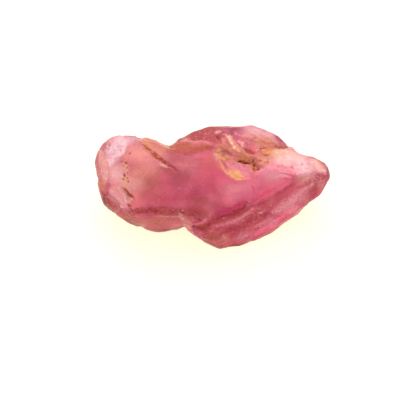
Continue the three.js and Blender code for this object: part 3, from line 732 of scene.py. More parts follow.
# The broken hollow: a yellow ledge round its left and foot, hackly steps, a black crack and an ochre wedge.
hollow = {
    "arc": [(0.35, 2.95), (0.2, 2.6), (0.55, 2.15), (0.72, 1.65), (0.93, 1.22), (1.25, 0.95), (1.8, 0.68),
            (2.12, 0.53), (2.9, 0.55), (3.5, 0.55)],
    "arcDepth": 0.1,
    "arcReach": 1.3,
    "arcEnds": (0.12, 0.2),  # shares of its length over which it fades in and out
    "area": [(0.3, 3.1), (0.2, 2.5), (0.9, 1.5), (1.7, 0.6), (3.0, 0.55), (4.3, 1.6), (5.0, 2.6),
             (5.7, 3.0), (5.0, 3.6), (3.6, 4.2), (2.2, 4.2), (1.1, 3.95)],
    "hackle": {"turn": -35, "sizes": (0.28, 0.7)},
    "hackleDepth": 0.08,
    "hackleStains": [("brick", -0.9, -0.1, 0.6), ("apricot", 0.8, 0.25, 0.5)],
    "patches": [
        {"outline": [(1.15, 1.9), (2.1, 1.95), (3.0, 1.6), (3.1, 1.1), (2.6, 0.75), (1.9, 1.0),
                     (1.25, 1.3)], "edge": 0.15, "grit": 0.5, "rose": 0.95, "frostAndHighlight": 0.12},
        {"outline": [(0.75, 2.95), (1.35, 2.75), (1.4, 2.3), (0.8, 2.35)], "edge": 0.12, "depth": 0.05,
         "mauve": 0.3},
        {"outline": [(2.9, 3.2), (3.4, 3.15), (3.5, 2.75), (3.1, 2.7)], "edge": 0.12, "depth": 0.03,
         "hotPink": 0.9, "crimson": 0.3},
        {"outline": [(1.8, 2.75), (2.9, 2.6), (3.0, 2.1), (2.0, 2.0)], "edge": 0.2, "grit": 0.8, "tan": 0.8,
         "brick": 0.3, "apricot": 0.3},
        {"outline": [(3.7, 3.05), (4.3, 2.95), (5.0, 2.8), (4.5, 2.4), (4.0, 2.45)], "edge": 0.22,
         "grit": 1.2, "tan": 0.8, "ochre": 0.65, "olive": 0.2},
        {"outline": [(3.4, 2.1), (4.65, 2.05), (4.6, 1.6), (3.5, 1.6)], "edge": 0.14, "grit": 0.9,
         "tan": 0.7},
        {"outline": [(0.12, 2.7), (0.5, 2.85), (0.7, 2.1), (0.35, 2.0)], "edge": 0.2, "grit": 0.8,
         "apricot": 0.6, "cream": 0.25, "tan": 0.3},
    ],
    "strokes": [
        {"line": [(0.45, 3.25), (0.6, 2.8), (0.7, 2.3), (0.68, 1.9)], "width": 0.2, "grit": 0.7,
         "ochre": 0.6, "brick": 0.4},
        {"line": [(0.6, 2.15), (1.0, 2.1), (1.35, 2.2)], "width": 0.17, "depth": -0.05, "grit": 0.6,
         "ochre": 0.75},
        {"line": [(0.7, 1.9), (0.75, 1.5), (0.95, 1.2), (1.3, 0.95), (1.8, 0.72), (2.2, 0.55)],
         "width": 0.26, "soft": 1.0, "grit": 1.0, "apricot": 0.9, "ochre": 0.55},
        {"line": [(1.35, 1.1), (1.9, 0.88), (2.5, 0.7)], "width": 0.52, "soft": 1.0, "grit": 0.9,
         "apricot": 0.7, "ochre": 0.9},
        {"line": [(1.7, 1.0), (2.05, 0.84), (2.35, 0.62)], "width": 0.3, "soft": 1.0, "depth": -0.03,
         "grit": 0.5, "ochre": 0.9, "cream": 0.3},
        {"line": [(0.98, 1.8), (1.1, 1.5), (1.3, 1.3)], "width": 0.08, "depth": 0.08, "garnetDark": 0.85},
        {"line": [(1.05, 4.05), (1.35, 3.6), (1.6, 3.2), (1.95, 2.8), (2.2, 2.55)], "width": 0.2,
         "soft": 0.9, "depth": -0.08, "grit": 1.1, "coral": 0.7, "apricot": 0.6, "cream": 0.6},
        {"line": [(1.35, 4.0), (1.7, 3.5), (2.0, 3.1), (2.35, 2.75)], "width": 0.16, "soft": 0.9,
         "depth": -0.05, "grit": 0.9, "coral": 0.9, "apricot": 0.4, "cream": 0.2},
        {"line": [(2.3, 3.5), (2.45, 3.1), (2.6, 2.7)], "width": 0.16, "soft": 0.9, "grit": 1.1,
         "apricot": 0.5, "cream": 0.3},
        {"line": [(0.95, 3.85), (1.2, 3.4), (1.5, 3.0), (1.7, 2.65)], "width": 0.1, "depth": 0.1,
         "brick": 0.9},
        {"line": [(2.0, 3.5), (2.3, 3.35), (2.55, 3.2)], "width": 0.15, "depth": -0.05, "grit": 1.0,
         "coral": 0.5, "frostAndHighlight": 0.35},
        {"line": [(1.55, 3.75), (1.9, 3.35), (2.3, 2.95)], "width": 0.14, "depth": 0.08, "mauve": 0.8},
        {"line": [(2.5, 2.98), (2.9, 2.74), (3.35, 2.58)], "width": 0.19, "depth": 0.16, "garnetDark": 1.0},
        {"line": [(2.9, 2.3), (3.5, 2.0), (4.2, 1.85)], "width": 0.16, "grit": 1.0, "olive": 0.6},
        {"line": [(3.7, 3.05), (4.0, 3.0), (4.4, 3.0)], "width": 0.1, "depth": 0.04, "grit": 1.2,
         "rust": 0.8},
        {"line": [(4.8, 3.05), (5.3, 3.02), (5.95, 3.1)], "width": 0.16, "soft": 0.9, "depth": 0.05,
         "grit": 0.6, "rust": 0.7},
        {"line": [(4.5, 2.75), (5.2, 2.76), (5.95, 2.85)], "width": 0.26, "soft": 0.95, "grit": 0.6,
         "cream": 0.8, "ochre": 0.2},
        {"line": [(3.85, 2.5), (4.2, 2.38), (4.5, 2.5)], "width": 0.1, "grit": 0.6, "rust": 0.75},
        {"line": [(1.8, 1.98), (2.3, 1.9), (2.7, 1.82), (3.1, 1.75), (3.4, 1.65)], "width": 0.22,
         "soft": 1.0, "grit": 1.4, "tan": 0.7, "olive": 0.4},
        {"line": [(1.98, 1.93), (2.3, 1.86), (2.65, 1.78), (2.95, 1.7)], "width": 0.11, "depth": 0.07,
         "grit": 0.8, "rust": 0.9},
        {"line": [(1.98, 1.95), (2.28, 1.88)], "width": 0.075, "depth": 0.04, "grit": 1.0, "soot": 1.0},
        {"line": [(2.3, 1.86), (2.65, 1.78), (3.0, 1.7)], "width": 0.075, "depth": 0.03, "grit": 1.1,
         "soot": 1.0},
        {"line": [(1.7, 2.1), (2.1, 2.0), (2.6, 1.95), (3.0, 1.95)], "width": 0.1, "soft": 0.9, "grit": 1.4,
         "rust": 0.8},
        {"line": [(3.05, 1.7), (3.2, 1.9), (3.4, 2.12)], "width": 0.07, "depth": 0.05, "grit": 1.4,
         "rust": 0.9, "soot": 0.4},
    ],
    "spots": [
        {"at": (3.22, 1.32), "size": (0.27, 0.25), "depth": 0.02, "soft": 0.8, "grit": 0.7, "olive": 1.0},
        {"at": (3.1, 1.2), "size": (0.2, 0.14), "grit": 1.2, "ochre": 0.8},
        {"at": (3.3, 1.6), "size": (0.13, 0.08), "depth": 0.05, "grit": 0.8, "soot": 0.9},
        {"at": (3.15, 1.88), "size": (0.32, 0.24), "turn": 30, "soft": 0.8, "grit": 1.6, "olive": 1.0,
         "rust": 0.5},
        {"at": (3.22, 1.98), "size": (0.07, 0.06), "soot": 0.8},
        {"at": (3.3, 1.55), "size": (0.34, 0.4), "soft": 0.9, "grit": 2.4, "rust": 0.8, "olive": 0.5},
        {"at": (3.65, 1.9), "size": (0.4, 0.25), "soft": 0.9, "grit": 2.2, "rust": 0.5, "tan": 0.6},
        {"at": (4.2, 2.45), "size": (0.42, 0.12), "turn": 5, "soft": 0.9, "grit": 1.0, "rust": 0.6},
        {"at": (5.2, 3.05), "size": (0.6, 0.16), "turn": -3, "soft": 0.9, "grit": 1.2, "rust": 0.6},
        {"at": (3.02, 2.05), "size": (0.05, 0.05), "soot": 0.7},
        {"at": (3.25, 1.3), "size": (0.22, 0.16), "grit": 1.5, "rust": 0.8},
        {"at": (3.53, 1.27), "size": (0.13, 0.13), "depth": 0.1, "rust": 1.0, "soot": 0.8},
        {"at": (4.31, 1.87), "size": (0.2, 0.16), "grit": 0.8, "rust": 0.7},
        # painted highlights: this apricot dot and the next two white dots
        {"at": (1.45, 2.12), "size": (0.12, 0.08), "depth": -0.04, "apricot": 0.9},
        {"at": (3.5, 2.83), "size": (0.09, 0.07), "depth": -0.03, "frostAndHighlight": 1.0},
        {"at": (1.9, 4.12), "size": (0.1, 0.09), "depth": -0.03, "frostAndHighlight": 1.0},
        {"at": (1.85, 4.35), "size": (0.08, 0.08), "depth": 0.06, "garnetDark": 0.9},
        {"at": (3.33, 3.73), "size": (0.28, 0.14), "turn": -20, "soft": 0.9, "grit": 1.2, "rust": 0.55},
        {"at": (4.36, 3.36), "size": (0.34, 0.14), "turn": -15, "soft": 0.9, "grit": 1.2, "rust": 0.7},
        {"at": (5.1, 3.3), "size": (0.5, 0.16), "turn": -25, "soft": 0.9, "grit": 1.2, "rust": 0.5},
        {"at": (3.9, 3.62), "size": (0.4, 0.16), "turn": -20, "soft": 0.9, "grit": 1.4, "brick": 0.6},
        {"at": (1.65, 3.8), "size": (0.08, 0.1), "depth": 0.06, "garnetDark": 0.9},
        {"at": (1.75, 1.7), "size": (0.07, 0.1), "depth": 0.05, "garnetDark": 0.7},
        {"at": (2.1, 1.45), "size": (0.12, 0.06), "turn": -30, "depth": 0.05, "garnetDark": 0.6},
        {"at": (3.8, 2.97), "size": (0.09, 0.08), "depth": 0.08, "soot": 0.8},
    ],
    "washes": {
        "mauve": [((2.8, 3.7), (0.9, 0.7), -10, 0.35)],
        "rust": [((2.9, 2.8), (0.5, 0.35), -25, 0.5), ((4.15, 2.5), (0.5, 0.25), -10, 0.2),
                 ((5.4, 3.2), (0.8, 0.35), -15, 0.3)],
        "tan": [((2.2, 2.4), (2.4, 1.2), -20, 0.5), ((4.2, 2.3), (1.2, 0.7), -10, 0.4),
                ((4.0, 3.3), (1.8, 0.6), -18, 0.35), ((0.7, 2.9), (0.8, 0.9), 0, 0.5),
                ((0.9, 1.8), (0.6, 1.2), 0, 0.3)],
        "apricot": [((1.6, 1.9), (1.0, 0.6), -20, 0.4), ((2.5, 1.1), (0.7, 0.5), 0, 0.35),
                    ((3.9, 3.3), (1.3, 0.6), -10, 0.4), ((2.7, 2.4), (0.7, 0.4), -20, 0.4)],
        "brick": [((4.3, 3.4), (1.3, 0.5), -20, 0.6), ((3.3, 3.6), (0.6, 0.4), 0, 0.5),
                  ((1.5, 2.7), (1.2, 0.9), -30, 0.4), ((5.3, 3.3), (0.7, 0.4), -25, 0.6),
                  ((4.1, 2.0), (1.0, 0.4), -10, 0.3), ((3.5, 2.4), (0.4, 0.3), 0, 0.7)],
        "olive": [((2.8, 1.85), (1.3, 0.5), -8, 0.45), ((3.25, 1.45), (0.7, 0.6), 0, 0.6),
                  ((3.9, 2.4), (0.9, 0.5), -10, 0.3)],
        "frostAndHighlight": [((3.4, 4.35), (1.8, 0.6), -14, 0.7), ((4.6, 3.9), (1.0, 0.35), -35, 0.5)],
        "shell": [((3.2, 4.2), (1.8, 0.7), -14, 0.5), ((4.4, 3.8), (1.2, 0.5), -30, 0.5),
                  ((2.9, 3.75), (1.2, 0.5), -12, 0.2), ((7.2, 0.8), (1.4, 0.8), 25, 0.5),
                  ((8.5, 0.0), (0.7, 0.7), 0, 0.25)],
        "cream": [((6.1, 2.8), (0.6, 0.4), -25, 0.5), ((3.9, 2.0), (0.8, 0.4), 0, 0.35),
                  ((1.6, 0.9), (0.8, 0.4), -30, 0.4)],
    },
}


def breakHollow():
    distance, place, side = marks.follow(hollow["arc"])
    within = smoothStep(hollow["arcReach"], 0.0, distance) * smoothStep(-0.05, 0.06, distance * side)
    marks.sink += within * hollow["arcDepth"] * marks.front * fadedEnds(place, *hollow["arcEnds"])
    area = marks.inside(hollow["area"], edge=0.2)
    hackle = grain(ownStretched(**hollow["hackle"]), 1.0, octaves=3, seed=41)
    marks.sink += area * hackle * hollow["hackleDepth"]
    layGrain(marks.wash, area, hackle, hollow["hackleStains"])
    layRegion(hollow)


# The pale facet by the tip, its paleness a painted reflection of the light, the thumbprint of ripples beside
# it with painted highlights along them, and the stained tip.
tipFacet = {
    "patches": [
        {"outline": [(4.4, 2.3), (5.92, 2.95), (8.0, 2.0), (7.7, 1.05), (6.6, 0.95), (6.2, 1.5), (5.3, 1.6),
                     (4.6, 1.9)], "edge": 0.5, "grit": 0.4, "frostAndHighlight": 0.75, "coral": 0.6, "highlightWhite": 0.12},
    ],
    "strokes": [
        {"line": [(7.6, 2.1), (8.3, 1.6), (8.75, 1.0)], "width": 0.7, "soft": 0.9, "coral": 0.7,
         "frostAndHighlight": 0.5, "cream": 0.3},
        {"line": [(8.0, 2.2), (8.4, 1.85), (8.8, 1.35)], "width": 0.14, "grit": 0.8, "tan": 0.7},
        {"line": [(6.8, 1.72), (7.1, 1.68)], "width": 0.06, "rust": 0.5},
        {"line": [(5.1, 1.45), (5.5, 1.52), (5.95, 1.45)], "width": 0.13, "soft": 0.8, "depth": 0.05,
         "hotPink": 0.9, "brick": 0.45},
        {"line": [(5.25, 1.2), (5.7, 1.24), (6.1, 1.1)], "width": 0.14, "soft": 0.8, "depth": 0.06,
         "hotPink": 0.9, "brick": 0.5},
        {"line": [(5.1, 0.95), (5.6, 0.93), (6.1, 0.8)], "width": 0.14, "soft": 0.8, "depth": 0.06,
         "hotPink": 0.9, "brick": 0.5},
        {"line": [(4.6, 1.35), (4.95, 1.2), (5.05, 1.0)], "width": 0.1, "soft": 0.9, "depth": 0.03,
         "crimson": 0.6},
        {"line": [(6.05, 1.5), (6.42, 1.2), (6.4, 0.8), (6.1, 0.5), (5.5, 0.45)], "width": 0.16,
         "soft": 0.9, "depth": 0.04, "crimson": 0.7, "brick": 0.25},
        # painted highlights along the ripples
        {"line": [(5.3, 1.34), (5.8, 1.34)], "width": 0.08, "soft": 0.9, "depth": -0.03, "frostAndHighlight": 0.5},
        {"line": [(5.2, 1.07), (5.9, 1.06)], "width": 0.08, "soft": 0.9, "depth": -0.03, "frostAndHighlight": 0.5},
        {"line": [(4.8, 0.7), (5.4, 0.68), (6.0, 0.6)], "width": 0.12, "soft": 0.9, "depth": -0.03,
         "frostAndHighlight": 0.4},
    ],
    "washes": {
        "blush": [((5.5, 1.0), (1.1, 0.7), 0, 0.8), ((4.4, 1.1), (1.2, 0.8), 0, 0.9)],
        "coral": [((4.4, 1.1), (1.2, 0.8), 0, 0.7)],
        "frostAndHighlight": [((4.3, 1.2), (1.3, 0.9), 0, 0.25)],
        "shell": [((7.0, 1.9), (1.8, 1.1), -25, 0.5)],
        "cream": [((6.2, 2.6), (1.6, 0.6), -28, 0.5), ((4.9, 2.5), (0.8, 0.4), 0, 0.4),
                  ((5.5, 2.1), (1.1, 0.7), -15, 0.35)],
        "tan": [((5.3, 2.4), (1.0, 0.5), -10, 0.25)],
    },
}

# The main ridge, dark crimson along its foot, and the long facet below with its lengthwise streaks; the
# facet faces away from the light and is darkened all over with painted shade, and its pale streaks and soft
# pale spots are painted sheen.
longFacet = {
    "ridge": [(6.53, 0.8), (6.26, 0.25), (5.92, 0.05), (4.89, -0.64), (4.2, -1.04), (2.98, -1.23),
              (2.36, -1.72), (1.47, -2.34), (0.5, -2.49), (-0.44, -2.89), (-1.26, -3.3)],
    "area": [(-1.2, -3.3), (0.5, -2.5), (2.36, -1.72), (4.2, -1.04), (5.9, 0.05), (6.5, 0.8), (8.4, 1.0),
             (9.2, 0.6), (8.6, -0.4), (5.3, -3.2), (3.3, -4.3), (1.3, -4.8), (-0.2, -4.6)],
    "terraces": {"turn": 27.3, "sizes": (0.42, 2.0)},
    "terraceDepth": 0.03,
    "threads": {"turn": 33.3, "sizes": (0.14, 0.8)},
    "threadDepth": 0.006,
    "base": 0.95,  # painted shade, mauve all over, as the facet faces away from the light
    "lower": 0.5,  # petal towards its lower edge
    "lowerFade": (1.2, 3.0),  # mm below the ridge where that begins and is full
    "darkStreaks": (0.35, 0.15, 0.25),  # how they follow the terraces and the threads, and their limit
    "sheenStreaks": (0.35, 0.2, 0.3),
    "glow": {"shift": (-0.15, 0.3), "width": 0.5, "hotPink": 0.5, "crimson": 0.35},  # above the ridge
    "strokes": [
        {"line": [(-1.34, -3.2), (-0.7, -2.95), (0.1, -2.65), (0.8, -2.4), (1.6, -2.1), (2.3, -1.7),
                  (2.6, -1.5)], "width": 0.58, "soft": 1.0, "grit": 0.15, "garnetDark": 0.95},
        {"line": [(0.0, -2.35), (0.9, -2.0), (1.9, -1.6), (2.8, -1.2)], "width": 0.6, "soft": 1.0,
         "grit": 0.15, "crimson": 0.9, "garnetDark": 0.5},
        {"line": [(3.0, -1.5), (4.3, -1.1), (5.2, -0.5), (6.1, 0.1)], "width": 0.3, "soft": 0.9,
         "grit": 0.2, "garnetDark": 0.45},
        {"line": [(0.4, -3.15), (1.4, -2.8), (2.35, -2.35), (2.87, -1.9), (3.2, -1.7)], "width": 0.26,
         "soft": 0.95, "grit": 0.6, "petal": 0.8, "frostAndHighlight": 0.16},
        {"line": [(-0.2, -3.12), (0.3, -3.05), (0.8, -2.95)], "width": 0.22, "soft": 0.95, "grit": 0.7,
         "petal": 0.7},
        {"line": [(0.8, -3.5), (2.33, -3.05), (3.55, -2.3), (4.4, -2.1)], "width": 0.5, "soft": 0.9,
         "grit": 0.3, "garnetDark": 0.6},
        # painted sheen: this stroke and the next two
        {"line": [(3.3, -3.2), (4.1, -2.75), (4.9, -2.4)], "width": 0.24, "soft": 0.95, "grit": 0.9,
         "petal": 0.6, "frostAndHighlight": 0.12},
        {"line": [(3.6, -2.1), (3.9, -1.95), (4.1, -1.85)], "width": 0.07, "grit": 0.8, "frostAndHighlight": 0.22},
        {"line": [(4.7, -2.1), (5.7, -1.6), (6.7, -0.85), (7.7, 0.15)], "width": 0.75, "soft": 1.0,
         "grit": 0.5, "petal": 0.6, "frostAndHighlight": 0.28},
        {"line": [(3.4, -3.75), (4.5, -3.1), (5.6, -2.3), (6.7, -1.5)], "width": 0.5, "soft": 1.0,
         "grit": 0.3, "hotPink": 0.9, "blush": 0.3},
        {"line": [(3.1, 0.05), (3.15, -0.35), (3.25, -0.72)], "width": 0.17, "soft": 0.9, "depth": 0.05,
         "grit": 0.5, "crimson": 1.0, "mauve": 0.6},
        {"line": [(3.6, 0.0), (3.68, -0.35), (3.6, -0.75)], "width": 0.15, "soft": 0.9, "depth": 0.04,
         "grit": 0.5, "crimson": 1.0, "mauve": 0.6},
    ],
    "spots": [
        # painted sheen: the four soft pale spots below
        {"at": (6.2, -0.7), "size": (1.5, 0.6), "turn": 42, "soft": 1.0, "grit": 0.4, "petal": 0.5},
        {"at": (6.4, -1.8), "size": (0.9, 0.6), "turn": 40, "soft": 1.0, "grit": 0.6, "frostAndHighlight": 0.3},
        {"at": (4.6, -2.8), "size": (1.0, 0.5), "turn": 30, "soft": 1.0, "grit": 0.6, "frostAndHighlight": 0.28},
        {"at": (2.5, -3.85), "size": (1.0, 0.5), "turn": 15, "soft": 1.0, "grit": 0.6, "frostAndHighlight": 0.3},
        {"at": (8.0, -0.1), "size": (0.8, 0.5), "turn": 40, "soft": 0.95, "grit": 0.6, "brick": 0.6},
    ],
    "tip": {"at": (7.9, 0.35), "size": (1.5, 0.65), "turn": 5, "soft": 0.7},
    "tipGrain": 0.13,
    "tipDepth": 0.03,
    "tipShade": 0.5,
    "tipStains": [("garnetDark", -1.2, 0.0, 0.6), ("frostAndHighlight", 1.2, 0.0, 0.2)],
}


def streakLongFacet():
    area = marks.inside(longFacet["area"], edge=0.15)
    terraces = grain(ownStretched(**longFacet["terraces"]), 1.0, octaves=2, seed=51)
    threads = grain(ownStretched(**longFacet["threads"]), 1.0, octaves=2, seed=52)
    marks.sink += area * (terraces * longFacet["terraceDepth"] + threads * longFacet["threadDepth"])
    lower = smoothStep(*longFacet["lowerFade"], marks.follow(longFacet["ridge"])[0])
    # painted shade over the whole facet, which faces away from the light
    marks.wash("mauve", area * longFacet["base"])
    marks.wash("petal", area * lower * longFacet["lower"])
    byTerrace, byThread, limit = longFacet["darkStreaks"]
    marks.wash("garnetDark", area * np.clip(-byTerrace * terraces - byThread * threads, 0, limit))
    # painted sheen along the pale streaks
    byTerrace, byThread, limit = longFacet["sheenStreaks"]
    marks.wash("petal", area * np.clip(byTerrace * terraces + byThread * threads, 0, limit))
    glow = longFacet["glow"]
    right, up = glow["shift"]
    above = marks.stroke([(x + right, y + up) for x, y in longFacet["ridge"][2:8]], glow["width"], soft=0.9)
    for name in ("hotPink", "crimson"):
        marks.wash(name, above * glow[name])
    layRegion(longFacet)
    tip = marks.oval(**longFacet["tip"])
    marks.sink += tip * grain(own, longFacet["tipGrain"], octaves=2, seed=53) * longFacet["tipDepth"]
    marks.wash("mauve", tip * longFacet["tipShade"])
    layGrain(marks.stain, tip, fine, longFacet["tipStains"])


# The iron-stained corner at the foot.
rustCorner = {
    "strokes": [
        {"line": [(-0.95, -3.55), (-0.6, -3.65)], "width": 0.09, "depth": -0.03, "grit": 0.8,
         "apricot": 0.6},
        {"line": [(-0.6, -3.75), (-0.3, -3.8)], "width": 0.07, "depth": -0.03, "grit": 0.8, "frostAndHighlight": 0.3},
        {"line": [(-0.6, -3.35), (0.2, -3.5), (0.5, -3.85)], "width": 0.3, "soft": 0.9, "grit": 0.9,
         "petal": 0.5},
    ],
    "spots": [
        {"at": (-0.05, -3.95), "size": (0.55, 0.35), "turn": -20, "soft": 0.9, "grit": 0.8, "brick": 0.9,
         "rust": 0.3},
        {"at": (1.1, -4.0), "size": (0.6, 0.35), "turn": 10, "soft": 0.9, "grit": 0.8, "coral": 0.9,
         "apricot": 0.25},
        {"at": (0.45, -4.25), "size": (0.35, 0.25), "turn": 10, "soft": 0.9, "grit": 0.8, "coral": 0.6,
         "apricot": 0.3},
    ],
    "washes": {
        "brick": [((0.1, -3.95), (1.5, 0.8), -10, 0.8)],
        "coral": [((1.0, -4.3), (1.2, 0.5), 5, 0.6)],
        "apricot": [((0.9, -4.2), (0.9, 0.4), 0, 0.15)],
    },
}

# Painted glints: small bright dots on the surface that stand in for sparkles of light.
paintedGlints = {
    "places": [(1.4, 3.98), (-2.52, -0.11), (-2.17, -1.82), (0.98, -2.41), (2.93, -1.16), (3.77, -3.09),
               (3.87, -2.01), (1.57, 2.16), (-4.0, -1.05), (4.6, -1.55)],
    "speck": {"size": (0.075, 0.075), "depth": -0.02, "frostAndHighlight": 0.75},
}


def addPaintedGlints():
    for at in paintedGlints["places"]:
        laySpot(at, **paintedGlints["speck"])


# Where the skin is grainy: place, size, turn, and how strong its light and dark grains are.
grains = {
    "places": [((-8.4, 1.2), (1.0, 2.8), 5, 0.6, 0.75), ((-7.2, -1.5), (2.0, 1.2), -38, 0.35, 0.6),
               ((-4.0, -2.8), (3.0, 0.9), -3, 0.2, 0.4), ((-0.8, 4.0), (2.2, 0.9), 8, 0.25, 0.5),
               ((3.9, 3.7), (2.0, 0.9), -20, 0.5, 0.85), ((2.0, 2.6), (1.9, 1.5), -30, 0.4, 0.4),
               ((8.1, 0.6), (1.2, 1.4), 30, 0.4, 0.5), ((0.3, -3.9), (1.5, 0.9), -15, 0.25, 0.4),
               ((-0.5, -2.6), (1.4, 0.6), 20, 0.3, 0.4), ((-3.6, 3.3), (1.4, 0.5), -25, 0.3, 0.5),
               ((7.0, 1.8), (1.6, 0.9), -20, 0.3, 0.2), ((-7.3, 2.8), (1.2, 1.0), 20, 0.3, 0.3),
               ((3.0, -2.6), (3.4, 1.3), 27, 0.2, 0.25)],
    "light": "shell",
    "dark": "brick",
    "patches": (0.8, 0.8),  # how strong they are everywhere, and how far the coarse grain changes it
    "contrast": 2.2,
    "gap": 0.2,  # how much of the skin stays bare between light and dark grains
}


def addGrains():
    lumpy = grains["contrast"] * (pepper * patchy(*grains["patches"]))
    for at, size, turn, light, dark in grains["places"]:
        place = marks.oval(at, size, turn, soft=0.8)
        marks.wash(grains["light"], place * np.clip(lumpy - grains["gap"], 0, 1) * light)
        marks.wash(grains["dark"], place * np.clip(-lumpy - grains["gap"], 0, 1) * dark)


# The edge where the broad side turns down into the steep sides: brick red on its turn, a painted dark
# outline of umber along the very rim, and worn nicks and bumps on the sides.
rimShadeAndWear = {
    "red": 0.6,  # brick on the turn of the edge
    "brown": 0.8,  # umber along the very rim, painted shade of a dark outline
    "turn": ((-0.5, -0.2), (0.5, 0.25)),  # how far the skin faces the lens where the red begins and ends
    "rim": ((0.2, -0.1), (-0.7, -0.4)),  # the same for the umber painted shade
    "rimSpread": 8,  # rounds of blurring
    "rimGain": 2.8,
    # lines where the painted rim shade is darkest
    "darkLines": [[(-3.3, 3.15), (-2.9, 3.45), (-2.0, 3.87), (-0.7, 4.5), (0.4, 4.66), (1.4, 4.7)],
                  [(-1.4, -3.72), (-0.35, -4.45), (0.4, -4.76), (1.3, -4.67), (2.4, -4.5)],
                  [(-6.6, -2.75), (-4.7, -3.47), (-3.5, -3.47), (-2.3, -3.2)],
                  [(-8.45, -0.95), (-8.2, -1.45), (-7.3, -2.3)],
                  [(8.65, 1.9), (9.08, 1.1), (9.08, 0.4), (8.7, -0.25)]],
    "darkWidth": 0.2,
    # the pale stretches, where both are weaker, and what is left off the red and the brown there
    "pale": [{"at": (-6.6, 3.9), "size": (2.6, 1.2), "soft": 0.5},
             {"at": (8.6, 1.9), "size": (1.6, 1.2), "soft": 0.5}],
    "paleLess": (0.7, 0.6),
    # how strong the red and the brown are everywhere, and how far the coarse grain changes it
    "redPatches": (0.7, 0.6),
    "brownPatches": (0.9, 0.7),
    "fading": ("cream", "ochre", "frostAndHighlight", "highlightWhite", "apricot"),  # stains that hardly run on down the sides
    "fade": 0.7,
    "sides": (0.6, 0.3),  # how far the skin faces the lens or away where the sides begin and are full
    "bumps": 0.035,  # mm
    "bumpSize": 0.55,
    "nicks": [  # place on the rim, size and depth
        ((-5.5, 3.85), 0.45, 0.1), ((-3.1, 3.1), 0.3, 0.1), ((-8.2, 3.6), 0.5, 0.06),
        ((-8.75, 0.55), 0.4, 0.06), ((-7.35, -2.05), 0.35, 0.09), ((-5.45, -3.2), 0.4, 0.1),
        ((-2.1, -3.25), 0.3, 0.08), ((5.95, 3.15), 0.3, 0.12), ((2.1, 4.7), 0.9, 0.16),
        ((3.0, -4.3), 0.4, 0.06), ((8.0, 2.3), 0.9, 0.24), ((7.0, 2.7), 0.8, 0.16),
        ((7.3, -1.5), 1.2, 0.1), ((8.8, 0.1), 0.7, 0.12), ((-0.8, 4.6), 0.8, 0.1),
    ],
}


def shadeAndWearRim():
    facing = outward[:, 2]
    begins, ends = rimShadeAndWear["turn"]
    turn = smoothStep(*begins, facing) * smoothStep(*ends, facing)
    begins, ends = rimShadeAndWear["rim"]
    rim = rimShadeAndWear["rimGain"] * skin.spread(smoothStep(*begins, facing), rimShadeAndWear["rimSpread"])
    rim = np.clip(rim, 0, 1) * smoothStep(*ends, facing)
    for line in rimShadeAndWear["darkLines"]:
        rim = np.maximum(rim, marks.stroke(line, rimShadeAndWear["darkWidth"], soft=0.9, taper=False))
    pale = np.maximum(*[marks.oval(**spot) for spot in rimShadeAndWear["pale"]])
    for name in rimShadeAndWear["fading"]:
        marks.stains[name] *= 1 - rimShadeAndWear["fade"] * marks.steep
    redLess, brownLess = rimShadeAndWear["paleLess"]
    marks.wash("brick", turn * rimShadeAndWear["red"] * patchy(*rimShadeAndWear["redPatches"]) * (1 - redLess * pale))
    # painted shade: a dark umber outline along the rim
    marks.wash("umber", rim * rimShadeAndWear["brown"] * patchy(*rimShadeAndWear["brownPatches"]) * (1 - brownLess * pale))
    sides = smoothStep(*rimShadeAndWear["sides"], np.abs(facing))
    marks.sink += sides * grain(own, rimShadeAndWear["bumpSize"], octaves=2, seed=71) * rimShadeAndWear["bumps"]
    for at, size, depth in rimShadeAndWear["nicks"]:
        reach = np.hypot(own[:, 0] - at[0], own[:, 1] - at[1]) / size
        marks.sink += smoothStep(1, 0, reach) * sides * depth


# Fine dark cracks, a hackly grainy skin and scattered iron stain on the sides and back.
weathering = {
    "ends": (-0.25, 0.3),  # how far the skin faces the lens where it begins to fade and is gone
    "crackSize": 3.2,  # mm
    "crackWidth": 0.035,  # share of the noise that the cracks follow
    "crackDepth": 0.12,
    "crackRust": 0.8,
    "crackGaps": 2.1,  # mm across the places where a crack closes up
    "gapEdge": (0.0, 0.35),  # where on that noise a crack begins to show and is full
    "hackle": {"turn": 25, "sizes": (0.35, 1.0)},
    "hackleDepth": 0.05,
    "hackleStains": [("crimson", -0.9, -0.1, 0.5), ("shell", 0.8, -0.15, 0.3)],
    "pepperStains": [("shell", 1.6, -0.3, 0.3), ("brick", -1.8, -0.4, 0.35)],
    "blotSize": 1.7,
    "blotEdge": (0.3, 0.95),
    "blotGrain": 0.5,
    "blotStains": [("tan", 0.6, 0.4, 0.65)],
    "cloudFull": 0.5,  # where on its noise a cloud is full
    # soft clouds: stain, size, octaves and seed of the noise, where on it the cloud begins, and amount
    "clouds": [("salmon", 3.5, 2, 64, 0.0, 0.6), ("crimson", 3.0, 2, 65, 0.0, 0.5),
               ("shell", 2.6, 3, 66, 0.05, 0.3)],
}


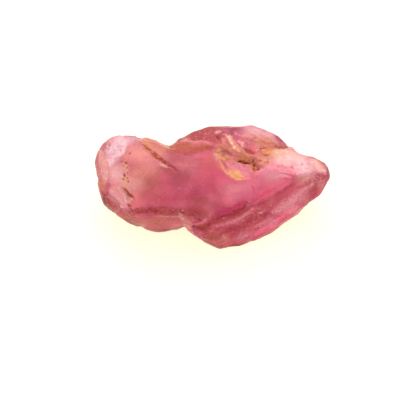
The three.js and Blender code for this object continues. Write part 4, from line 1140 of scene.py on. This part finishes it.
def weatherRest():
    rest = 1 - smoothStep(*weathering["ends"], outward[:, 2])
    field = grain(own, weathering["crackSize"], seed=61)
    gaps = smoothStep(*weathering["gapEdge"], grain(own, weathering["crackGaps"], octaves=2, seed=62))
    crack = smoothStep(weathering["crackWidth"], 0, np.abs(field)) * rest * gaps
    marks.sink += crack * weathering["crackDepth"]
    marks.stain("rust", crack * weathering["crackRust"])
    hackle = grain(ownStretched(**weathering["hackle"]), 1.0, seed=67) * rest
    marks.sink += hackle * weathering["hackleDepth"]
    layGrain(marks.wash, 1, hackle, weathering["hackleStains"])
    layGrain(marks.wash, 1, pepper * rest, weathering["pepperStains"])
    blots = grain(own, weathering["blotSize"], octaves=4, seed=63) + weathering["blotGrain"] * fine
    blots = smoothStep(*weathering["blotEdge"], blots)
    layGrain(marks.stain, blots * rest, fine, weathering["blotStains"])
    for name, size, octaves, seed, begins, amount in weathering["clouds"]:
        cloud = smoothStep(begins, weathering["cloudFull"], grain(own, size, octaves, seed))
        marks.wash(name, rest * cloud * amount)


layRegion(clouds)
openShoulderCrack()
pitShoulder()
leftCornerHighlights()
cutShelf()
breakNotch()
layRegion(darkCap)
breakHollow()
layRegion(tipFacet)
streakLongFacet()
layRegion(rustCorner)
addPaintedGlints()
addGrains()
shadeAndWearRim()
weatherRest()
print("marks made")


def sinkSurface():
    inward = -skin.normals()
    skin.points += inward * marks.sink[:, None]
    skin.smooth(1, weight=0.4)


def writeStains():
    for name, amount in marks.stains.items():
        layer = stone.data.attributes.new(name, "FLOAT", "POINT")
        layer.data.foreach_set("value", amount.astype(np.float32))


sinkSurface()
skin.write()
writeStains()
stone.data.transform(Matrix.Scale(mm, 4))
stone.name = "garnetStone"
stone.data.name = "garnetStone"
for face in stone.data.polygons:
    face.use_smooth = True
print("stone shaped")

gem = {
    "body": (1.0, 0.26, 0.48, 1),
    "cloudSize": 1.1,  # mm
    "cloudShade": 0.8,  # the body's darkest share of its colour
    "grainSize": 0.16,  # mm, the grain in the stains, the roughness and the bumps
    "stainGrain": 0.35,  # how far it breaks the stains up
    "roughness": 0.34,
    "roughnessGrain": 0.16,
    "bump": 0.35,
    "bumpDepth": 0.03,  # mm
    # how far flecks lighten and darken the colour, their size in mm and their detail; dust is the finest
    "flecks": (0.22, 0.3, 4.0),
    "dust": (0.35, 0.1, 2.0),
    "ior": 1.76,
    "shine": 0.15,
    "shineTint": (1.0, 0.32, 0.38, 1),  # the worn skin throws back light of this colour
    "transmission": 0.93,
    "absorbColor": (0.975, 0.10, 0.29, 1),
    "absorbDensity": 110.0,
    # each stain, in the order they are laid: its colour and how far it stops light passing through
    "stains": {
        "salmon": ((1.0, 0.44, 0.44, 1), 0.1),
        "rose": ((1.0, 0.36, 0.74, 1), 0.05),
        "amber": ((0.60, 0.24, 0.17, 1), 0.1),
        "plum": ((0.46, 0.08, 0.22, 1), 0.1),
        "coral": ((1.0, 0.36, 0.31, 1), 0.7),
        "mauve": ((0.56, 0.06, 0.115, 1), 0.88),
        "petal": ((0.84, 0.18, 0.28, 1), 0.85),
        "crimson": ((0.74, 0.045, 0.20, 1), 0.35),
        "hotPink": ((0.95, 0.12, 0.27, 1), 0.5),
        "brick": ((0.47, 0.085, 0.085, 1), 0.88),
        "garnetDark": ((0.36, 0.024, 0.036, 1), 0.96),
        "blush": ((1.0, 0.24, 0.35, 1), 0.75),
        # frost: pale frosted skin in places, and elsewhere the colour of painted highlights, glints and
        # reflections
        "frostAndHighlight": ((1.0, 0.60, 0.66, 1), 0.65),
        "shell": ((1.0, 0.54, 0.51, 1), 0.75),
        "apricot": ((0.95, 0.40, 0.26, 1), 0.7),
        "tan": ((0.66, 0.23, 0.11, 1), 0.8),
        "cream": ((0.95, 0.60, 0.42, 1), 0.75),
        "ochre": ((0.95, 0.44, 0.15, 1), 0.85),
        # chalk: the white of painted highlights, on the glints and on the pale facets that stand in for
        # reflections
        "highlightWhite": ((1.0, 0.74, 0.78, 1), 0.85),
        "olive": ((0.50, 0.15, 0.03, 1), 0.9),
        "rust": ((0.42, 0.07, 0.03, 1), 0.85),
        "umber": ((0.24, 0.07, 0.06, 1), 0.9),
        "soot": ((0.09, 0.012, 0.003, 1), 0.97),
    },
}


def newMaterial(name):
    material = bpy.data.materials.new(name)
    material.use_nodes = True
    material.node_tree.nodes.clear()
    return material, material.node_tree.nodes, material.node_tree.links


def mathNode(nodes, links, operation, first, second):
    node = nodes.new("ShaderNodeMath")
    node.operation = operation
    for socket, value in zip(node.inputs, (first, second)):
        if isinstance(value, (int, float)):
            socket.default_value = value
        else:
            links.new(value, socket)
    return node.outputs["Value"]


def noiseNode(nodes, links, coordinates, size, detail=3.0, roughness=0.55):
    node = nodes.new("ShaderNodeTexNoise")
    node.inputs["Scale"].default_value = 1 / (size * mm)
    node.inputs["Detail"].default_value = detail
    node.inputs["Roughness"].default_value = roughness
    links.new(coordinates, node.inputs["Vector"])
    return node.outputs["Fac"]


def multiplyAddNode(nodes, links, value, factor, shift):
    result = mathNode(nodes, links, "MULTIPLY_ADD", value, factor)
    result.node.inputs[2].default_value = shift
    return result


def mixNode(nodes, links, factor, first, second, blend="MIX"):
    mix = nodes.new("ShaderNodeMix")
    mix.data_type = "RGBA"
    mix.blend_type = blend
    for name, value in (("Factor", factor), ("A", first), ("B", second)):
        if isinstance(value, (float, tuple)):
            mix.inputs[name].default_value = value
        else:
            links.new(value, mix.inputs[name])
    return mix.outputs["Result"]


def flecksNode(nodes, links, place, flecks):
    reach, size, detail = flecks
    field = noiseNode(nodes, links, place, size, detail, 0.6)
    return multiplyAddNode(nodes, links, field, reach * 2, 1.0 - reach)


def stainedColour(nodes, links, colour, grainy):
    # lays every stain over the body colour, and works out how much light still passes
    passing = gem["transmission"]
    for name, (tint, stop) in gem["stains"].items():
        worn = nodes.new("ShaderNodeAttribute")
        worn.attribute_name = name
        broken = multiplyAddNode(nodes, links, grainy, gem["stainGrain"], -gem["stainGrain"] / 2)
        broken = mathNode(nodes, links, "ADD", broken, 1.0)
        amount = mathNode(nodes, links, "MULTIPLY", worn.outputs["Fac"], broken)
        amount.node.use_clamp = True
        colour = mixNode(nodes, links, amount, colour, tint)
        held = mathNode(nodes, links, "MULTIPLY", amount, stop)
        kept = mathNode(nodes, links, "SUBTRACT", 1.0, held)
        passing = mathNode(nodes, links, "MULTIPLY", kept, passing)
    return colour, passing


def garnetFinish():
    material, nodes, links = newMaterial("garnet")
    output = nodes.new("ShaderNodeOutputMaterial")
    shader = nodes.new("ShaderNodeBsdfPrincipled")
    shader.inputs["IOR"].default_value = gem["ior"]
    shader.inputs["Specular IOR Level"].default_value = gem["shine"]
    shader.inputs["Specular Tint"].default_value = gem["shineTint"]
    place = nodes.new("ShaderNodeTexCoord").outputs["Object"]
    grainy = noiseNode(nodes, links, place, gem["grainSize"])
    cloudy = noiseNode(nodes, links, place, gem["cloudSize"])

    shaded = tuple(c * gem["cloudShade"] for c in gem["body"][:3]) + (1,)
    colour = mixNode(nodes, links, cloudy, gem["body"], shaded)
    colour, passing = stainedColour(nodes, links, colour, grainy)
    flecks = flecksNode(nodes, links, place, gem["flecks"])
    dust = flecksNode(nodes, links, place, gem["dust"])
    mottle = mathNode(nodes, links, "MULTIPLY", flecks, dust)
    links.new(mixNode(nodes, links, 1.0, colour, mottle, "MULTIPLY"), shader.inputs["Base Color"])
    links.new(passing, shader.inputs["Transmission Weight"])

    spread = gem["roughnessGrain"]
    rough = multiplyAddNode(nodes, links, grainy, spread, gem["roughness"] - spread / 2)
    links.new(rough, shader.inputs["Roughness"])
    bump = nodes.new("ShaderNodeBump")
    bump.inputs["Strength"].default_value = gem["bump"]
    bump.inputs["Distance"].default_value = gem["bumpDepth"] * mm
    links.new(grainy, bump.inputs["Height"])
    links.new(bump.outputs["Normal"], shader.inputs["Normal"])
    links.new(shader.outputs["BSDF"], output.inputs["Surface"])

    body = nodes.new("ShaderNodeVolumeAbsorption")
    body.inputs["Color"].default_value = gem["absorbColor"]
    body.inputs["Density"].default_value = gem["absorbDensity"]
    links.new(body.outputs["Volume"], output.inputs["Volume"])
    return material


stone.data.materials.clear()
stone.data.materials.append(garnetFinish())
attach(stone, "root")
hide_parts("garnet")
print("finish laid")

# A pale table that glows a little, a world that is brighter behind the stone, and one soft panel above it.
studio = {
    "floorSize": 0.8,  # m
    "floorColor": (0.35, 0.35, 0.4, 1),
    "floorRoughness": 0.9,
    "floorGlow": (1.12, 0.975, 0.68, 1),
    "floorGlowPower": 0.92,
    "frontWorld": 0.42,
    "backWorld": 1.05,
    "worldTurn": (-0.9, 0.5),  # front to back, where the world begins to brighten and is brightest
    "heart": (0, 0, 0.003),  # m, what the panel faces
    "panelTowards": (0, 0.6, 0.8),
    "panelReach": 0.6,  # m from the stone
    "panelSize": (0.5, 0.4),  # m
    "panelPower": 1.4,
}


def makeFloor():
    h = studio["floorSize"] / 2
    mesh = bpy.data.meshes.new("floor")
    mesh.from_pydata([(-h, -h, 0), (h, -h, 0), (h, h, 0), (-h, h, 0)], [], [(0, 1, 2, 3)])
    floor = bpy.data.objects.new("floor", mesh)
    bpy.context.scene.collection.objects.link(floor)
    material, nodes, links = newMaterial("whiteTable")
    output = nodes.new("ShaderNodeOutputMaterial")
    shader = nodes.new("ShaderNodeBsdfPrincipled")
    shader.inputs["Base Color"].default_value = studio["floorColor"]
    shader.inputs["Roughness"].default_value = studio["floorRoughness"]
    shader.inputs["Emission Color"].default_value = studio["floorGlow"]
    shader.inputs["Emission Strength"].default_value = studio["floorGlowPower"]
    links.new(shader.outputs["BSDF"], output.inputs["Surface"])
    mesh.materials.append(material)


def makeWorld():
    world = bpy.data.worlds.new("studioWorld")
    bpy.context.scene.world = world
    world.use_nodes = True
    nodes, links = world.node_tree.nodes, world.node_tree.links
    back = nodes["Background"]
    where = nodes.new("ShaderNodeTexCoord")
    split = nodes.new("ShaderNodeSeparateXYZ")
    ramp = nodes.new("ShaderNodeMapRange")
    ramp.interpolation_type = "SMOOTHSTEP"
    ramp.inputs["From Min"].default_value, ramp.inputs["From Max"].default_value = studio["worldTurn"]
    ramp.inputs["To Min"].default_value = studio["frontWorld"]
    ramp.inputs["To Max"].default_value = studio["backWorld"]
    links.new(where.outputs["Generated"], split.inputs["Vector"])
    links.new(split.outputs["Y"], ramp.inputs["Value"])
    links.new(ramp.outputs["Result"], back.inputs["Strength"])
    back.inputs["Color"].default_value = (1, 1, 1, 1)


def makePanel():
    data = bpy.data.lights.new("skyPanel", "AREA")
    data.shape = "RECTANGLE"
    data.size, data.size_y = studio["panelSize"]
    data.energy = studio["panelPower"]
    light = bpy.data.objects.new("skyPanel", data)
    bpy.context.scene.collection.objects.link(light)
    heart = Vector(studio["heart"])
    light.location = heart + Vector(studio["panelTowards"]).normalized() * studio["panelReach"]
    light.rotation_euler = (light.location - heart).to_track_quat("Z", "Y").to_euler()


makeFloor()
makeWorld()
makePanel()
look = bpy.context.scene.view_settings
look.view_transform = "Standard"
look.look = "None"
bpy.context.scene.cycles.use_denoising = True
print("lights set")
